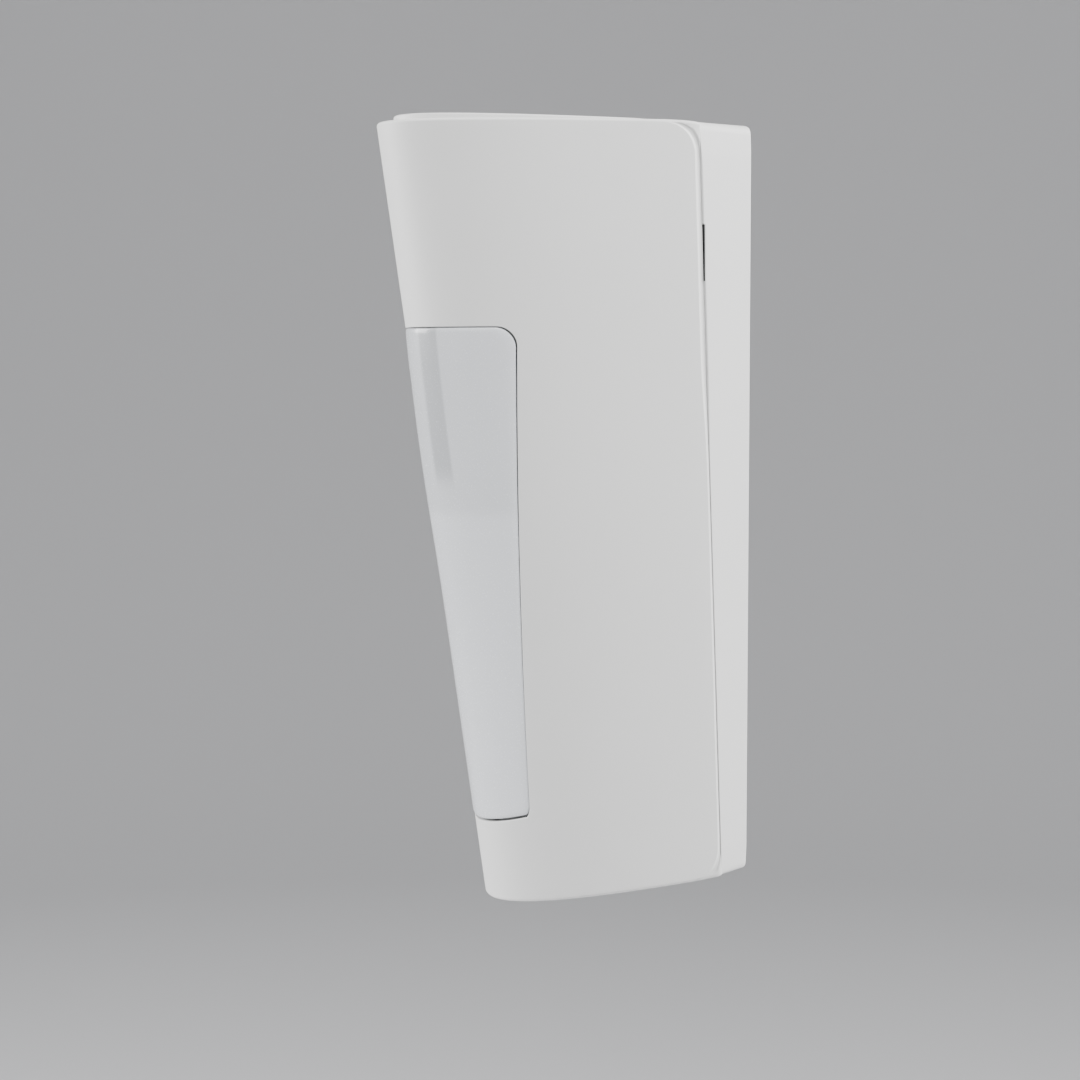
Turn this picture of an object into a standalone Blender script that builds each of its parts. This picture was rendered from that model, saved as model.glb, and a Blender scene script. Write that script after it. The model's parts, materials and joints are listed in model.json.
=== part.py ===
"""Outdoor wall-mounted passive-infrared motion detector.

Metres, +Z up. The wall is the plane Y = 0 and the detector stands out from it towards -Y.
The origin is the centre of the flat back. The housing is a prow: its plan is a parabola that
starts at a slanted nose line and ends at a slanted parting plane, where the wall base takes over.
"""

import math

import bmesh
import bpy
from mathutils import Matrix, Vector

# Housing
HALF_WIDTH = 0.038
TOP_Z = 0.0995
NOSE_Y, NOSE_SLOPE = -0.0702, -0.152  # nose line: y = NOSE_Y + NOSE_SLOPE * z
SEAM_Y, SEAM_SLOPE = -0.01096, -0.0395  # parting plane: y = SEAM_Y + SEAM_SLOPE * z
NOSE_FOOT_Y, NOSE_FOOT_Z = -0.0549, -0.1003  # lowest point of the nose line
BELLY_SLOPE = 0.177  # how the underside climbs towards the wall
BASE_BELLY_RISE = 0.0014  # further climb of the base's underside, from the seam to the wall
COVER_WALL = 0.0025
BASE_WALL = 0.0022
BASE_FLOOR = 0.0025
TOP_CORNER, FOOT_CORNER = 0.0075, 0.0065  # corner radii of the housing at the seam
CORNER_START = 0.84  # depth fraction where the corner radii begin to grow
EDGE_RADIUS = 0.0006
NOSE_TOP_RADIUS, NOSE_FOOT_RADIUS = 0.001, 0.0026
GAP = 0.0003  # fit clearance between separate pieces

# Window
WINDOW_MID_HALF_WIDTH, WINDOW_TAPER = 0.0189, 0.0497  # half width = mid + taper * z
WINDOW_TOP_Z, WINDOW_FOOT_Z = 0.0481, -0.0788
WINDOW_FOOT_CURVE = 12.4  # the lower edge climbs by this times x squared
WINDOW_TOP_CORNER, WINDOW_FOOT_CORNER = (0.0023, 0.0056), (0.0012, 0.0026)
WINDOW_THICK = 0.0018
WINDOW_PROUD = 0.0005
WINDOW_GAP = 0.00022

# Sensor head, in its own frame: Z along the pan axis, -Y towards the nose
PAN_Y, PAN_Z = -0.0436, -0.0154
PAN_TILT = math.atan(-NOSE_SLOPE)
HEAD_HALF = 0.0585
DISC_THICK = 0.0026
DISC_RADIUS = 0.0152
DIVIDER_Z = 0.0165
LENS_THICK = 0.0009
LENS_ARC = math.radians(78)
PIVOT_RADIUS, PIVOT_LENGTH = 0.0028, 0.0045
SPINE_WIDTH, SPINE_BACK, SPINE_THICK = 0.023, 0.0062, 0.0022
SENSOR_BOARD = (0.0185, 0.0012, 0.098)
PYRO_RADIUS, PYRO_HEIGHT = 0.0045, 0.0042

# Chassis and electronics
CHASSIS_FACE_Y, CHASSIS_THICK = -0.0150, 0.0022
CHASSIS_HALF_WIDTH, CHASSIS_FOOT_Z, CHASSIS_TOP_Z = 0.031, -0.0865, 0.054
BOSS_RADIUS, SCREW_RADIUS, SCREW_HOLE = 0.0035, 0.0014, 0.0018
CHASSIS_SCREWS = ((-0.0265, -0.068), (0.0265, -0.068), (-0.0265, 0.040), (0.0265, 0.040))
BOARD_BACK_Y, BOARD_THICK = -0.0052, 0.0016
BOARD_HALF_WIDTH, BOARD_FOOT_Z, BOARD_TOP_Z = 0.0215, -0.058, 0.084
BOARD_SCREWS = ((-0.0175, -0.053), (0.0175, 0.0645))
TERMINAL_COUNT, TERMINAL_PITCH = 6, 0.005
TERMINAL_Z, TERMINAL_DEPTH, TERMINAL_HEIGHT = 0.0765, 0.010, 0.009
DIP_COUNT, DIP_PITCH = 4, 0.00254
CABLE_HOLE_Z, CABLE_HOLE_RADIUS, CABLE_RADIUS = 0.0895, 0.0050, 0.0031
WALL_HOLES = ((0.0, 0.066), (0.0, -0.076))
WALL_HOLE_RADIUS, WALL_SLOT = 0.0024, 0.004

WHITE = (0.62, 0.62, 0.61)


def material(name, colour, roughness, metallic=0.0):
    """One Principled material, made once and shared by name."""
    found = bpy.data.materials.get(name)
    if found:
        return found
    made = bpy.data.materials.new(name)
    made.use_nodes = True
    shader = made.node_tree.nodes["Principled BSDF"]
    shader.inputs["Base Color"].default_value = (*colour, 1)
    shader.inputs["Roughness"].default_value = roughness
    shader.inputs["Metallic"].default_value = metallic
    return made


def housing_plastic():
    return material("housing_plastic", WHITE, 0.5)


def inner_plastic():
    return material("inner_plastic", (0.55, 0.56, 0.56), 0.45)


def circuit_green():
    return material("circuit_green", (0.02, 0.16, 0.07), 0.4)


def black_plastic():
    return material("black_plastic", (0.02, 0.02, 0.02), 0.45)


def dip_red():
    return material("dip_red", (0.4, 0.02, 0.02), 0.4)


def steel():
    return material("steel", (0.6, 0.6, 0.62), 0.3, 1.0)


def rubber():
    return material("rubber", (0.03, 0.03, 0.03), 0.8)


def mesh_object(name, bm, surface, parent=None):
    """Turns a bmesh into a named object with outward faces, smooth where it is round."""
    bmesh.ops.recalc_face_normals(bm, faces=bm.faces)
    mesh = bpy.data.meshes.new(name)
    bm.to_mesh(mesh)
    bm.free()
    mesh.shade_smooth()
    mesh.set_sharp_from_angle(angle=math.radians(35))
    mesh.materials.append(surface)
    made = bpy.data.objects.new(name, mesh)
    bpy.context.scene.collection.objects.link(made)
    made.parent = parent
    return made


def empty(name, location, tilt=0.0):
    """A parent for a moving group, with its origin on the joint's axis."""
    made = bpy.data.objects.new(name, None)
    made.location = location
    made.rotation_euler = (tilt, 0, 0)
    bpy.context.scene.collection.objects.link(made)
    return made


def hang(piece, axis):
    """Puts a piece that is modelled in world coordinates under its joint's empty."""
    piece.parent = axis
    place = Matrix.Translation(axis.location) @ axis.rotation_euler.to_matrix().to_4x4()
    piece.matrix_parent_inverse = place.inverted()


def add_loft(bm, rings, closed=False):
    """Skins a row of equal rings: ends capped, or joined to each other when closed."""
    rows = [[bm.verts.new(point) for point in ring] for ring in rings]
    pairs = list(zip(rows, rows[1:]))
    if closed:
        pairs.append((rows[-1], rows[0]))
    for low, high in pairs:
        for i in range(len(low)):
            j = (i + 1) % len(low)
            bm.faces.new((low[i], low[j], high[j], high[i]))
    if not closed:
        bm.faces.new(reversed(rows[0]))
        bm.faces.new(rows[-1])


def loft(name, rings, surface, parent=None, closed=False):
    bm = bmesh.new()
    add_loft(bm, rings, closed)
    return mesh_object(name, bm, surface, parent)


def box(name, low, high, surface, parent=None, bevel=0.0):
    """A block between two corners, with its edges bevelled if asked."""
    bm = bmesh.new()
    middle = (Vector(low) + Vector(high)) / 2
    size = Vector(high) - Vector(low)
    bmesh.ops.create_cube(bm, size=1, matrix=Matrix.Translation(middle) @ Matrix.Diagonal((*size, 1)))
    if bevel:
        bmesh.ops.bevel(bm, geom=bm.edges[:], offset=bevel, segments=1, profile=0.5, affect="EDGES")
    return mesh_object(name, bm, surface, parent)


def circle(radius, z, sides):
    angles = (2 * math.pi * i / sides for i in range(sides))
    return [Vector((radius * math.cos(a), radius * math.sin(a), z)) for a in angles]


def turned(name, profile, start, direction, surface, parent=None, sides=16):
    """A turned piece: profile is (radius, distance along direction) from one end to the other."""
    turn = Vector(direction).to_track_quat("Z", "Y").to_matrix().to_4x4()
    place = Matrix.Translation(start) @ turn
    rings = [[place @ point for point in circle(radius, z, sides)] for radius, z in profile]
    return loft(name, rings, surface, parent)


def rod(name, radius, start, end, surface, parent=None, sides=16):
    length = (Vector(end) - Vector(start)).length
    return turned(
        name, ((radius, 0), (radius, length)), start, Vector(end) - Vector(start), surface, parent, sides
    )


def helper(piece):
    """Keeps a cutter or a joined shape out of the finished object."""
    piece.hide_render = True
    piece.display_type = "WIRE"
    return piece


def combine(piece, other, operation):
    helper(other)
    change = piece.modifiers.new(f"{operation.lower()}_{other.name}", "BOOLEAN")
    change.operation = operation
    change.solver = "EXACT"
    change.object = other


def nose_y(z):
    return NOSE_Y + NOSE_SLOPE * z


def seam_y(z):
    return SEAM_Y + SEAM_SLOPE * z


def belly_z(y):
    return NOSE_FOOT_Z + BELLY_SLOPE * (y - NOSE_FOOT_Y)


def rounding(distance, radius):
    """How far a rounded corner has fallen away at this distance from its flank."""
    return radius - math.sqrt(radius**2 - (radius - distance) ** 2) if distance < radius else 0.0


def outline(half_width, foot, top, foot_corner, top_corner, steps=5, flank_steps=1):
    """(x, z) points round a rectangle with two rounded upper and two rounded lower corners."""
    points = []
    for side_x, level, (rx, rz), start in (
        (half_width, foot, foot_corner, -math.pi / 2),
        (half_width, top, top_corner, 0),
        (-half_width, top, top_corner, math.pi / 2),
        (-half_width, foot, foot_corner, math.pi),
    ):
        centre_x = side_x - math.copysign(rx, side_x)
        centre_z = level + (rz if level == foot else -rz)
        for i in range(steps + 1):
            angle = start + math.pi / 2 * i / steps
            points.append((centre_x + rx * math.cos(angle), centre_z + rz * math.sin(angle)))
        climbs = side_x > 0 and level == foot
        falls = side_x < 0 and level == top
        if climbs or falls:
            first, last = foot + foot_corner[1], top - top_corner[1]
            levels = [first + (last - first) * i / flank_steps for i in range(1, flank_steps)]
            points += [(side_x, z) for z in (levels if climbs else reversed(levels))]
    return points


def corner_radius(depth, full):
    """The housing's edges are crisp in front and open into the round corners at the seam."""
    growth = max(0.0, (min(depth, 1.0) - CORNER_START) / (1 - CORNER_START))
    return EDGE_RADIUS + (full - EDGE_RADIUS) * growth**2


def prow_ring(depth, wall):
    """One slanted section of the prow, from the nose (depth 0) to the seam (depth 1)."""
    half_width = (HALF_WIDTH - wall) * math.sqrt(depth)
    y_mid = nose_y(0) + wall + (seam_y(0) - nose_y(0) - wall) * depth
    behind_nose = max(0.0, y_mid - nose_y(0) - wall)
    foot_y = y_mid - 0.09 * (NOSE_SLOPE + (SEAM_SLOPE - NOSE_SLOPE) * depth)
    foot = belly_z(foot_y) + wall + rounding(behind_nose, NOSE_FOOT_RADIUS)
    top = TOP_Z - wall - rounding(behind_nose, NOSE_TOP_RADIUS)
    foot_round = min(max(corner_radius(depth, FOOT_CORNER) - wall, EDGE_RADIUS), half_width * 0.6)
    top_round = min(max(corner_radius(depth, TOP_CORNER) - wall, EDGE_RADIUS), half_width * 0.6)
    ring = []
    corners = (foot_round, foot_round), (top_round, top_round)
    for x, z in outline(half_width, foot, top, *corners, flank_steps=10):
        front = nose_y(z) + wall
        ring.append(Vector((x, front + (seam_y(z) - front) * depth, z)))
    return ring


def prow(name, wall, surface, overrun=0.0):
    """The solid prow, inset all round by wall; a cutter runs on past the seam by overrun."""
    first, count = 0.03, 16
    spots = [first + (1 - first) * i / (count - 1) for i in range(count)]
    if overrun:
        spots.append(1 + overrun)
    return loft(name, [prow_ring(t * t, wall) for t in spots], surface)


def window_outline(grow):
    """(x, z) points of the window's edge in front view, grown or shrunk by a margin."""
    half = WINDOW_MID_HALF_WIDTH + grow
    top, foot = WINDOW_TOP_Z + grow, WINDOW_FOOT_Z - grow
    points = outline(half, foot, top, WINDOW_FOOT_CORNER, WINDOW_TOP_CORNER, 6)
    shaped = []
    for x, z in points:
        tapered = x * (1 + WINDOW_TAPER * z / WINDOW_MID_HALF_WIDTH)
        lift = WINDOW_FOOT_CURVE * tapered**2 * max(0.0, min(1.0, (z - top) / (foot - top)))
        shaped.append((tapered, z + lift))
    return shaped


def window_prism(name, grow, surface):
    """The window's outline carried through the front of the housing."""
    front, back = -0.100, -0.030
    points = window_outline(grow)
    return loft(name, [[Vector((x, y, z)) for x, z in points] for y in (front, back)], surface)


def base_ring(inset, y=None, lift=0.0):
    """The base's outline: along the parting plane when y is None, else at that distance."""
    seam_foot_y = seam_y(-0.092)
    foot_y = seam_foot_y + lift if y is None else y
    foot = belly_z(seam_foot_y) + BASE_BELLY_RISE * (1 - foot_y / seam_foot_y)
    radii = [(radius - inset,) * 2 for radius in (FOOT_CORNER, TOP_CORNER)]
    points = outline(HALF_WIDTH - inset, foot + inset, TOP_Z - inset, *radii)
    return [Vector((x, seam_y(z) + lift if y is None else y, z)) for x, z in points]


def make_base(plastic):
    """The wall tray: floor, rim, screw bosses, mounting slots and the cable hole."""
    rings = [base_ring(0, lift=GAP), base_ring(0, y=0.0)]
    base = loft("back_base", rings, plastic)
    well = [base_ring(BASE_WALL, lift=-0.006), base_ring(BASE_WALL, y=-BASE_FLOOR)]
    combine(base, loft("base_well", well, plastic), "DIFFERENCE")
    for i, (x, z) in enumerate(CHASSIS_SCREWS):
        front = CHASSIS_FACE_Y + CHASSIS_THICK + GAP
        boss = rod(f"chassis_boss_{i + 1}", BOSS_RADIUS, (x, -0.001, z), (x, front, z), plastic)
        combine(base, boss, "UNION")
        hole = rod(f"chassis_pilot_{i + 1}", SCREW_HOLE, (x, -0.0035, z), (x, -0.03, z), plastic, sides=12)
        combine(base, hole, "DIFFERENCE")
    for i, (x, z) in enumerate(BOARD_SCREWS):
        front = BOARD_BACK_Y + GAP
        boss = rod(f"board_boss_{i + 1}", BOSS_RADIUS, (x, -0.001, z), (x, front, z), plastic)
        combine(base, boss, "UNION")
        hole = rod(f"board_pilot_{i + 1}", SCREW_HOLE, (x, -0.0012, z), (x, -0.03, z), plastic, sides=12)
        combine(base, hole, "DIFFERENCE")
    for i, (x, z) in enumerate(WALL_HOLES):
        corner = (WALL_HOLE_RADIUS * 0.98,) * 2
        points = outline(WALL_HOLE_RADIUS, z - WALL_SLOT, z + WALL_SLOT, corner, corner)
        slot = [[Vector((x + px, y, pz)) for px, pz in points] for y in (-0.008, 0.004)]
        combine(base, loft(f"wall_slot_{i + 1}", slot, plastic), "DIFFERENCE")
    entry = (0, 0.004, CABLE_HOLE_Z)
    inside = (0, -0.0045, CABLE_HOLE_Z)
    combine(base, rod("cable_hole", CABLE_HOLE_RADIUS, entry, inside, plastic, sides=24), "DIFFERENCE")
    slit = box("pry_slit", (0.034, -0.0138, 0.0595), (0.040, -0.0129, 0.0739), plastic)
    combine(base, slit, "DIFFERENCE")
    return base


def make_grommet():
    """Rubber grommet that seals the cable hole; it has a groove for the base's floor."""
    lip, groove = CABLE_HOLE_RADIUS + 0.0012, CABLE_HOLE_RADIUS - GAP
    profile = (
        (CABLE_RADIUS, -0.0045),
        (lip, -0.0040),
        (lip, -BASE_FLOOR - GAP),
        (groove, -BASE_FLOOR - GAP),
        (groove, -0.0003),
        (CABLE_RADIUS, -0.0003),
    )
    rings = []
    for radius, y in profile:
        rings.append([Vector((p.x, y, CABLE_HOLE_Z + p.y)) for p in circle(radius, 0, 24)])
    return loft("wiring_grommet", rings, rubber(), closed=True)


def make_seal():
    """Square-section rubber ring that keeps rain out just inside the base's rim."""
    outer, inner = BASE_WALL + GAP, BASE_WALL + 0.0017
    rings = [
        base_ring(outer, lift=0.0008),
        base_ring(inner, lift=0.0008),
        base_ring(inner, lift=0.0023),
        base_ring(outer, lift=0.0023),
    ]
    return loft("rain_seal", rings, rubber(), closed=True)


def make_chassis(pan_axis, plastic):
    """Plate on the base's bosses, with two arms that carry the sensor head's pivots."""
    low = (-CHASSIS_HALF_WIDTH, CHASSIS_FACE_Y, CHASSIS_FOOT_Z)
    high = (CHASSIS_HALF_WIDTH, CHASSIS_FACE_Y + CHASSIS_THICK, CHASSIS_TOP_Z)
    chassis = box("chassis", low, high, plastic)
    arm_in, arm_out = HEAD_HALF + 0.0008, HEAD_HALF + 0.0038
    arms = {"upper": ((-0.008, -0.005, arm_in), (0.008, 0.0392, arm_out))}
    arms["lower"] = ((-0.008, -0.005, -arm_out), (0.008, 0.0206, -arm_in))
    for name, (arm_low, arm_high) in arms.items():
        arm = box(f"{name}_arm", arm_low, arm_high, plastic, pan_axis)
        combine(chassis, arm, "UNION")
    reach = HEAD_HALF + 0.01
    bore = PIVOT_RADIUS + GAP
    for name, side in (("upper", 1), ("lower", -1)):
        start, end = (0, 0, side * (HEAD_HALF - 0.001)), (0, 0, side * reach)
        hole = rod(f"{name}_pivot_hole", bore, start, end, plastic, pan_axis, 24)
        combine(chassis, hole, "DIFFERENCE")
    lug = box("lock_lug", (-0.006, -0.0245, -0.0845), (0.006, CHASSIS_FACE_Y + 0.001, -0.0820), plastic)
    combine(chassis, lug, "UNION")
    notch = box("lock_notch", (-0.002, -0.030, -0.0855), (0.002, -0.0178, -0.0810), plastic)
    combine(chassis, notch, "DIFFERENCE")
    for i, (x, z) in enumerate(CHASSIS_SCREWS):
        hole = rod(f"chassis_hole_{i + 1}", SCREW_HOLE, (x, -0.020, z), (x, -0.010, z), plastic, sides=12)
        combine(chassis, hole, "DIFFERENCE")
    return chassis


def make_screw(name, x, y, z, length, head_radius=0.0028):
    """Pan-head screw driven towards the wall, with a cross recess in its head."""
    profile = (
        (SCREW_RADIUS, length),
        (SCREW_RADIUS, 0),
        (head_radius, 0),
        (head_radius, -0.0009),
        (head_radius * 0.7, -0.0016),
    )
    screw = turned(name, profile, (x, y, z), (0, 1, 0), steel(), sides=14)
    deep, wide, thin = 0.0008, head_radius * 0.55, 0.00035
    for way, (dx, dz) in enumerate(((wide, thin), (thin, wide))):
        low = (x - dx, y - 0.0030, z - dz)
        high = (x + dx, y - 0.0016 + deep, z + dz)
        combine(screw, box(f"{name}_recess_{way + 1}", low, high, steel()), "DIFFERENCE")
    return screw


def make_electronics():
    """The main board and everything soldered to its front."""
    front = BOARD_BACK_Y - BOARD_THICK
    seat = front - GAP
    board = box(
        "main_board",
        (-BOARD_HALF_WIDTH, front, BOARD_FOOT_Z),
        (BOARD_HALF_WIDTH, BOARD_BACK_Y, BOARD_TOP_Z),
        circuit_green(),
    )
    for i, (x, z) in enumerate(BOARD_SCREWS):
        start, end = (x, -0.012, z), (x, 0.001, z)
        hole = rod(f"board_hole_{i + 1}", SCREW_HOLE, start, end, circuit_green(), sides=12)
        combine(board, hole, "DIFFERENCE")
    blocks = {
        "relay": ((0.009, 0.026), (0.0075, 0.015), 0.005, black_plastic()),
        "processor_chip": ((-0.008, 0.018), (0.010, 0.010), 0.0014, black_plastic()),
        "lead_connector": ((-0.011, -0.030), (0.009, 0.0048), 0.0048, inner_plastic()),
        "dip_switch_body": ((-0.007, 0.0615), (0.0118, 0.0062), 0.0045, dip_red()),
    }
    for name, ((x, z), (wide, tall), height, surface) in blocks.items():
        low = (x - wide / 2, seat - height, z - tall / 2)
        high = (x + wide / 2, seat, z + tall / 2)
        made = box(name, low, high, surface, bevel=0.0003)
        if name == "dip_switch_body":
            for i in range(DIP_COUNT):
                at = x + (i - (DIP_COUNT - 1) / 2) * DIP_PITCH
                pocket = box(
                    f"dip_pocket_{i + 1}",
                    (at - 0.0009, seat - height - 0.001, z - 0.0019),
                    (at + 0.0009, seat - height + 0.0015, z + 0.0019),
                    surface,
                )
                combine(made, pocket, "DIFFERENCE")
                box(
                    f"dip_slider_{i + 1}",
                    (at - 0.0006, seat - height - 0.0004, z - 0.0012),
                    (at + 0.0006, seat - height + 0.0012, z),
                    material("dip_white", (0.7, 0.7, 0.7), 0.4),
                )
    can = ((0.00315, 0), (0.00315, 0.0044), (0.0028, 0.0049))
    sleeve = material("can", (0.1, 0.12, 0.3), 0.4)
    turned("capacitor", can, (0.011, seat, -0.012), (0, -1, 0), sleeve, sides=20)
    block = box(
        "terminal_block",
        (-TERMINAL_COUNT * TERMINAL_PITCH / 2, seat - TERMINAL_HEIGHT, TERMINAL_Z - TERMINAL_DEPTH / 2),
        (TERMINAL_COUNT * TERMINAL_PITCH / 2, seat, TERMINAL_Z + TERMINAL_DEPTH / 2),
        material("terminal_green", (0.03, 0.3, 0.12), 0.4),
    )
    face = seat - TERMINAL_HEIGHT
    for i in range(TERMINAL_COUNT):
        x = (i - (TERMINAL_COUNT - 1) / 2) * TERMINAL_PITCH
        z = TERMINAL_Z - 0.001
        start, end = (x, face - 0.001, z), (x, face + 0.003, z)
        well = rod(f"terminal_well_{i + 1}", 0.0021, start, end, steel(), sides=16)
        combine(block, well, "DIFFERENCE")
        wire = box(
            f"terminal_wire_{i + 1}",
            (x - 0.0014, face + 0.0045, TERMINAL_Z + 0.001),
            (x + 0.0014, face + 0.0072, TERMINAL_Z + 0.008),
            steel(),
        )
        combine(block, wire, "DIFFERENCE")
        start, end = (x, face + 0.0006, z), (x, face + 0.0027, z)
        screw = rod(f"terminal_screw_{i + 1}", 0.0018, start, end, steel(), sides=16)
        slot = (x - 0.0022, face + 0.0001, z - 0.0003), (x + 0.0022, face + 0.0012, z + 0.0003)
        combine(screw, box(f"terminal_slot_{i + 1}", *slot, steel()), "DIFFERENCE")
    low, high = (0.0075, -0.0200, 0.0835), (0.0145, seat, 0.0885)
    box("tamper_switch_body", low, high, black_plastic(), bevel=0.0003)
    return board


def make_tamper_plunger():
    """Button that the cover's top wall holds down."""
    axis = empty("tamper_axis", (0.011, -0.0180, 0.0888))
    profile = ((0.0012, 0), (0.0012, 0.0072), (0.0007, 0.0079))
    red = material("plunger", (0.5, 0.1, 0.05), 0.4)
    plunger = turned("tamper_plunger", profile, (0, 0, 0), (0, 0, 1), red, axis)
    return plunger


def make_head(pan_axis):
    """The panning sensor head: frame with three discs on a spine, and two curved lenses."""
    plastic = inner_plastic()
    frame = box(
        "head_frame",
        (-SPINE_WIDTH / 2, SPINE_BACK - SPINE_THICK, -HEAD_HALF + 0.0005),
        (SPINE_WIDTH / 2, SPINE_BACK, HEAD_HALF - 0.0005),
        plastic,
        pan_axis,
    )
    spots = {"foot": -HEAD_HALF, "divider": DIVIDER_Z - DISC_THICK / 2, "head": HEAD_HALF - DISC_THICK}
    for name, z in spots.items():
        disc = rod(f"{name}_disc", DISC_RADIUS, (0, 0, z), (0, 0, z + DISC_THICK), plastic, pan_axis, 40)
        combine(frame, disc, "UNION")
    for name, side in (("foot", -1), ("head", 1)):
        start, end = (0, 0, side * (HEAD_HALF - 0.001)), (0, 0, side * (HEAD_HALF + PIVOT_LENGTH))
        combine(frame, rod(f"{name}_pivot", PIVOT_RADIUS, start, end, plastic, pan_axis, 24), "UNION")
    board_wide, board_thick = SENSOR_BOARD[:2]
    back = SPINE_BACK - SPINE_THICK - 0.0004
    slot = box(
        "divider_slot",
        (-board_wide / 2 - 0.0004, back - board_thick - 0.0008, DIVIDER_Z - 0.004),
        (board_wide / 2 + 0.0004, back + 0.0002, DIVIDER_Z + 0.004),
        plastic,
        pan_axis,
    )
    combine(frame, slot, "DIFFERENCE")
    foot = -HEAD_HALF + DISC_THICK + GAP
    divider_low, divider_high = DIVIDER_Z - DISC_THICK / 2 - GAP, DIVIDER_Z + DISC_THICK / 2 + GAP
    spans = {"lower_lens": (foot, divider_low), "upper_lens": (divider_high, -foot)}
    lens = material("lens_polythene", (0.75, 0.76, 0.78), 0.35)
    outer, inner = DISC_RADIUS - 0.0001, DISC_RADIUS - 0.0001 - LENS_THICK
    steps = 20
    for name, (low, high) in spans.items():
        section = ((outer, low), (outer, high), (inner, high), (inner, low))
        sections = []
        for i in range(steps + 1):
            angle = -LENS_ARC + 2 * LENS_ARC * i / steps
            x, y = math.sin(angle), -math.cos(angle)
            sections.append([Vector((r * x, r * y, z)) for r, z in section])
        loft(name, sections, lens, pan_axis)


def make_sensor_carriage(pan_axis):
    """The sensor board, which slides on the spine to set the range, and what it carries."""
    wide, thick, tall = SENSOR_BOARD
    back = SPINE_BACK - SPINE_THICK - 0.0004
    front = back - thick
    box("sensor_board", (-wide / 2, front, -tall / 2), (wide / 2, back, tall / 2), circuit_green(), pan_axis)
    can = ((PYRO_RADIUS, 0), (PYRO_RADIUS, PYRO_HEIGHT - 0.0004), (PYRO_RADIUS - 0.0005, PYRO_HEIGHT))
    for name, z in (("upper_pyro_sensor", 0.0365), ("lower_pyro_sensor", -0.0205)):
        turned(name, can, (0, front - GAP, z), (0, -1, 0), steel(), pan_axis, 24)
    dome = ((0.0015, 0), (0.0015, 0.0020), (0.0011, 0.0030), (0.0005, 0.0034))
    led = material("led_lens", (0.6, 0.05, 0.03), 0.2)
    turned("status_led", dome, (0, front - GAP, -0.0455), (0, -1, 0), led, pan_axis, 16)
    low, high = (-0.003, front - GAP - 0.003, 0.0445), (0.003, front - GAP, 0.0475)
    box("range_tab", low, high, material("tab", (0.7, 0.35, 0.05), 0.4), pan_axis, bevel=0.0003)


def make_cover(hinge, plastic):
    """The hollow prow with its window opening, hooks and lock-screw boss."""
    cover = prow("front_cover", 0.0, plastic)
    combine(cover, prow("cover_hollow", COVER_WALL, plastic, overrun=0.06), "DIFFERENCE")
    combine(cover, window_prism("window_opening", WINDOW_GAP, plastic), "DIFFERENCE")
    boss = rod("lock_boss", 0.0042, (0, -0.020, -0.0930), (0, -0.020, -0.0875), plastic, sides=24)
    combine(cover, boss, "UNION")
    bore = rod("lock_bore", 0.0019, (0, -0.020, -0.100), (0, -0.020, -0.080), plastic, sides=16)
    combine(cover, bore, "DIFFERENCE")
    sink = rod("lock_sink", 0.0036, (0, -0.020, -0.100), (0, -0.020, -0.0910), plastic, sides=24)
    combine(cover, sink, "DIFFERENCE")
    for side, x in (("left", -0.018), ("right", 0.018)):
        hook = box(f"{side}_hook", (x - 0.003, -0.0190, 0.0928), (x + 0.003, -0.0095, 0.0952), plastic)
        stem = box(f"{side}_stem", (x - 0.0029, -0.0188, 0.0940), (x + 0.0029, -0.0160, 0.0980), plastic)
        combine(cover, hook, "UNION")
        combine(cover, stem, "UNION")
    hang(cover, hinge)
    return cover


def make_window(hinge):
    """The frosted pane, a little proud of the housing, and the frame that holds it inside."""
    pane_plastic = material("window_polythene", (0.66, 0.67, 0.69), 0.12)
    pane = window_prism("window", -WINDOW_GAP, pane_plastic)
    combine(pane, prow("window_face", -WINDOW_PROUD, pane_plastic), "INTERSECT")
    combine(pane, prow("window_back", WINDOW_THICK, pane_plastic, overrun=0.06), "DIFFERENCE")
    frame = window_prism("window_retainer", 0.0035, inner_plastic())
    combine(frame, prow("retainer_face", COVER_WALL + GAP, inner_plastic()), "INTERSECT")
    inside = prow("retainer_back", COVER_WALL + GAP + 0.0012, inner_plastic(), overrun=0.06)
    combine(frame, inside, "DIFFERENCE")
    combine(frame, window_prism("retainer_opening", -0.0015, inner_plastic()), "DIFFERENCE")
    for piece in (pane, frame):
        hang(piece, hinge)


def make_top_cap(hinge, plastic):
    """Low pad on the cover's top, higher in front than behind."""
    inset, front_gap = 0.0035, 0.0045
    front_rise, back_rise = 0.00175, 0.0010
    start, end = nose_y(TOP_Z) + front_gap, seam_y(TOP_Z) - 0.0015
    half = HALF_WIDTH - inset
    outline_points = []
    reach = 0.94
    for i in range(25):
        t = -reach + 2 * reach * i / 24
        outline_points.append((half * t, start + (end - start) * (t / reach) ** 2))
    rings = []
    for shrink, fraction in ((1.0, 0.0), (1.0, 0.6), (0.975, 1.0)):
        ring = []
        for x, y in outline_points:
            rise = front_rise + (back_rise - front_rise) * (y - start) / (end - start)
            ring.append(Vector((x * shrink, end + (y - end) * shrink, TOP_Z + GAP + (rise - GAP) * fraction)))
        rings.append(ring)
    cap = loft("top_cap", rings, plastic)
    hang(cap, hinge)


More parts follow.
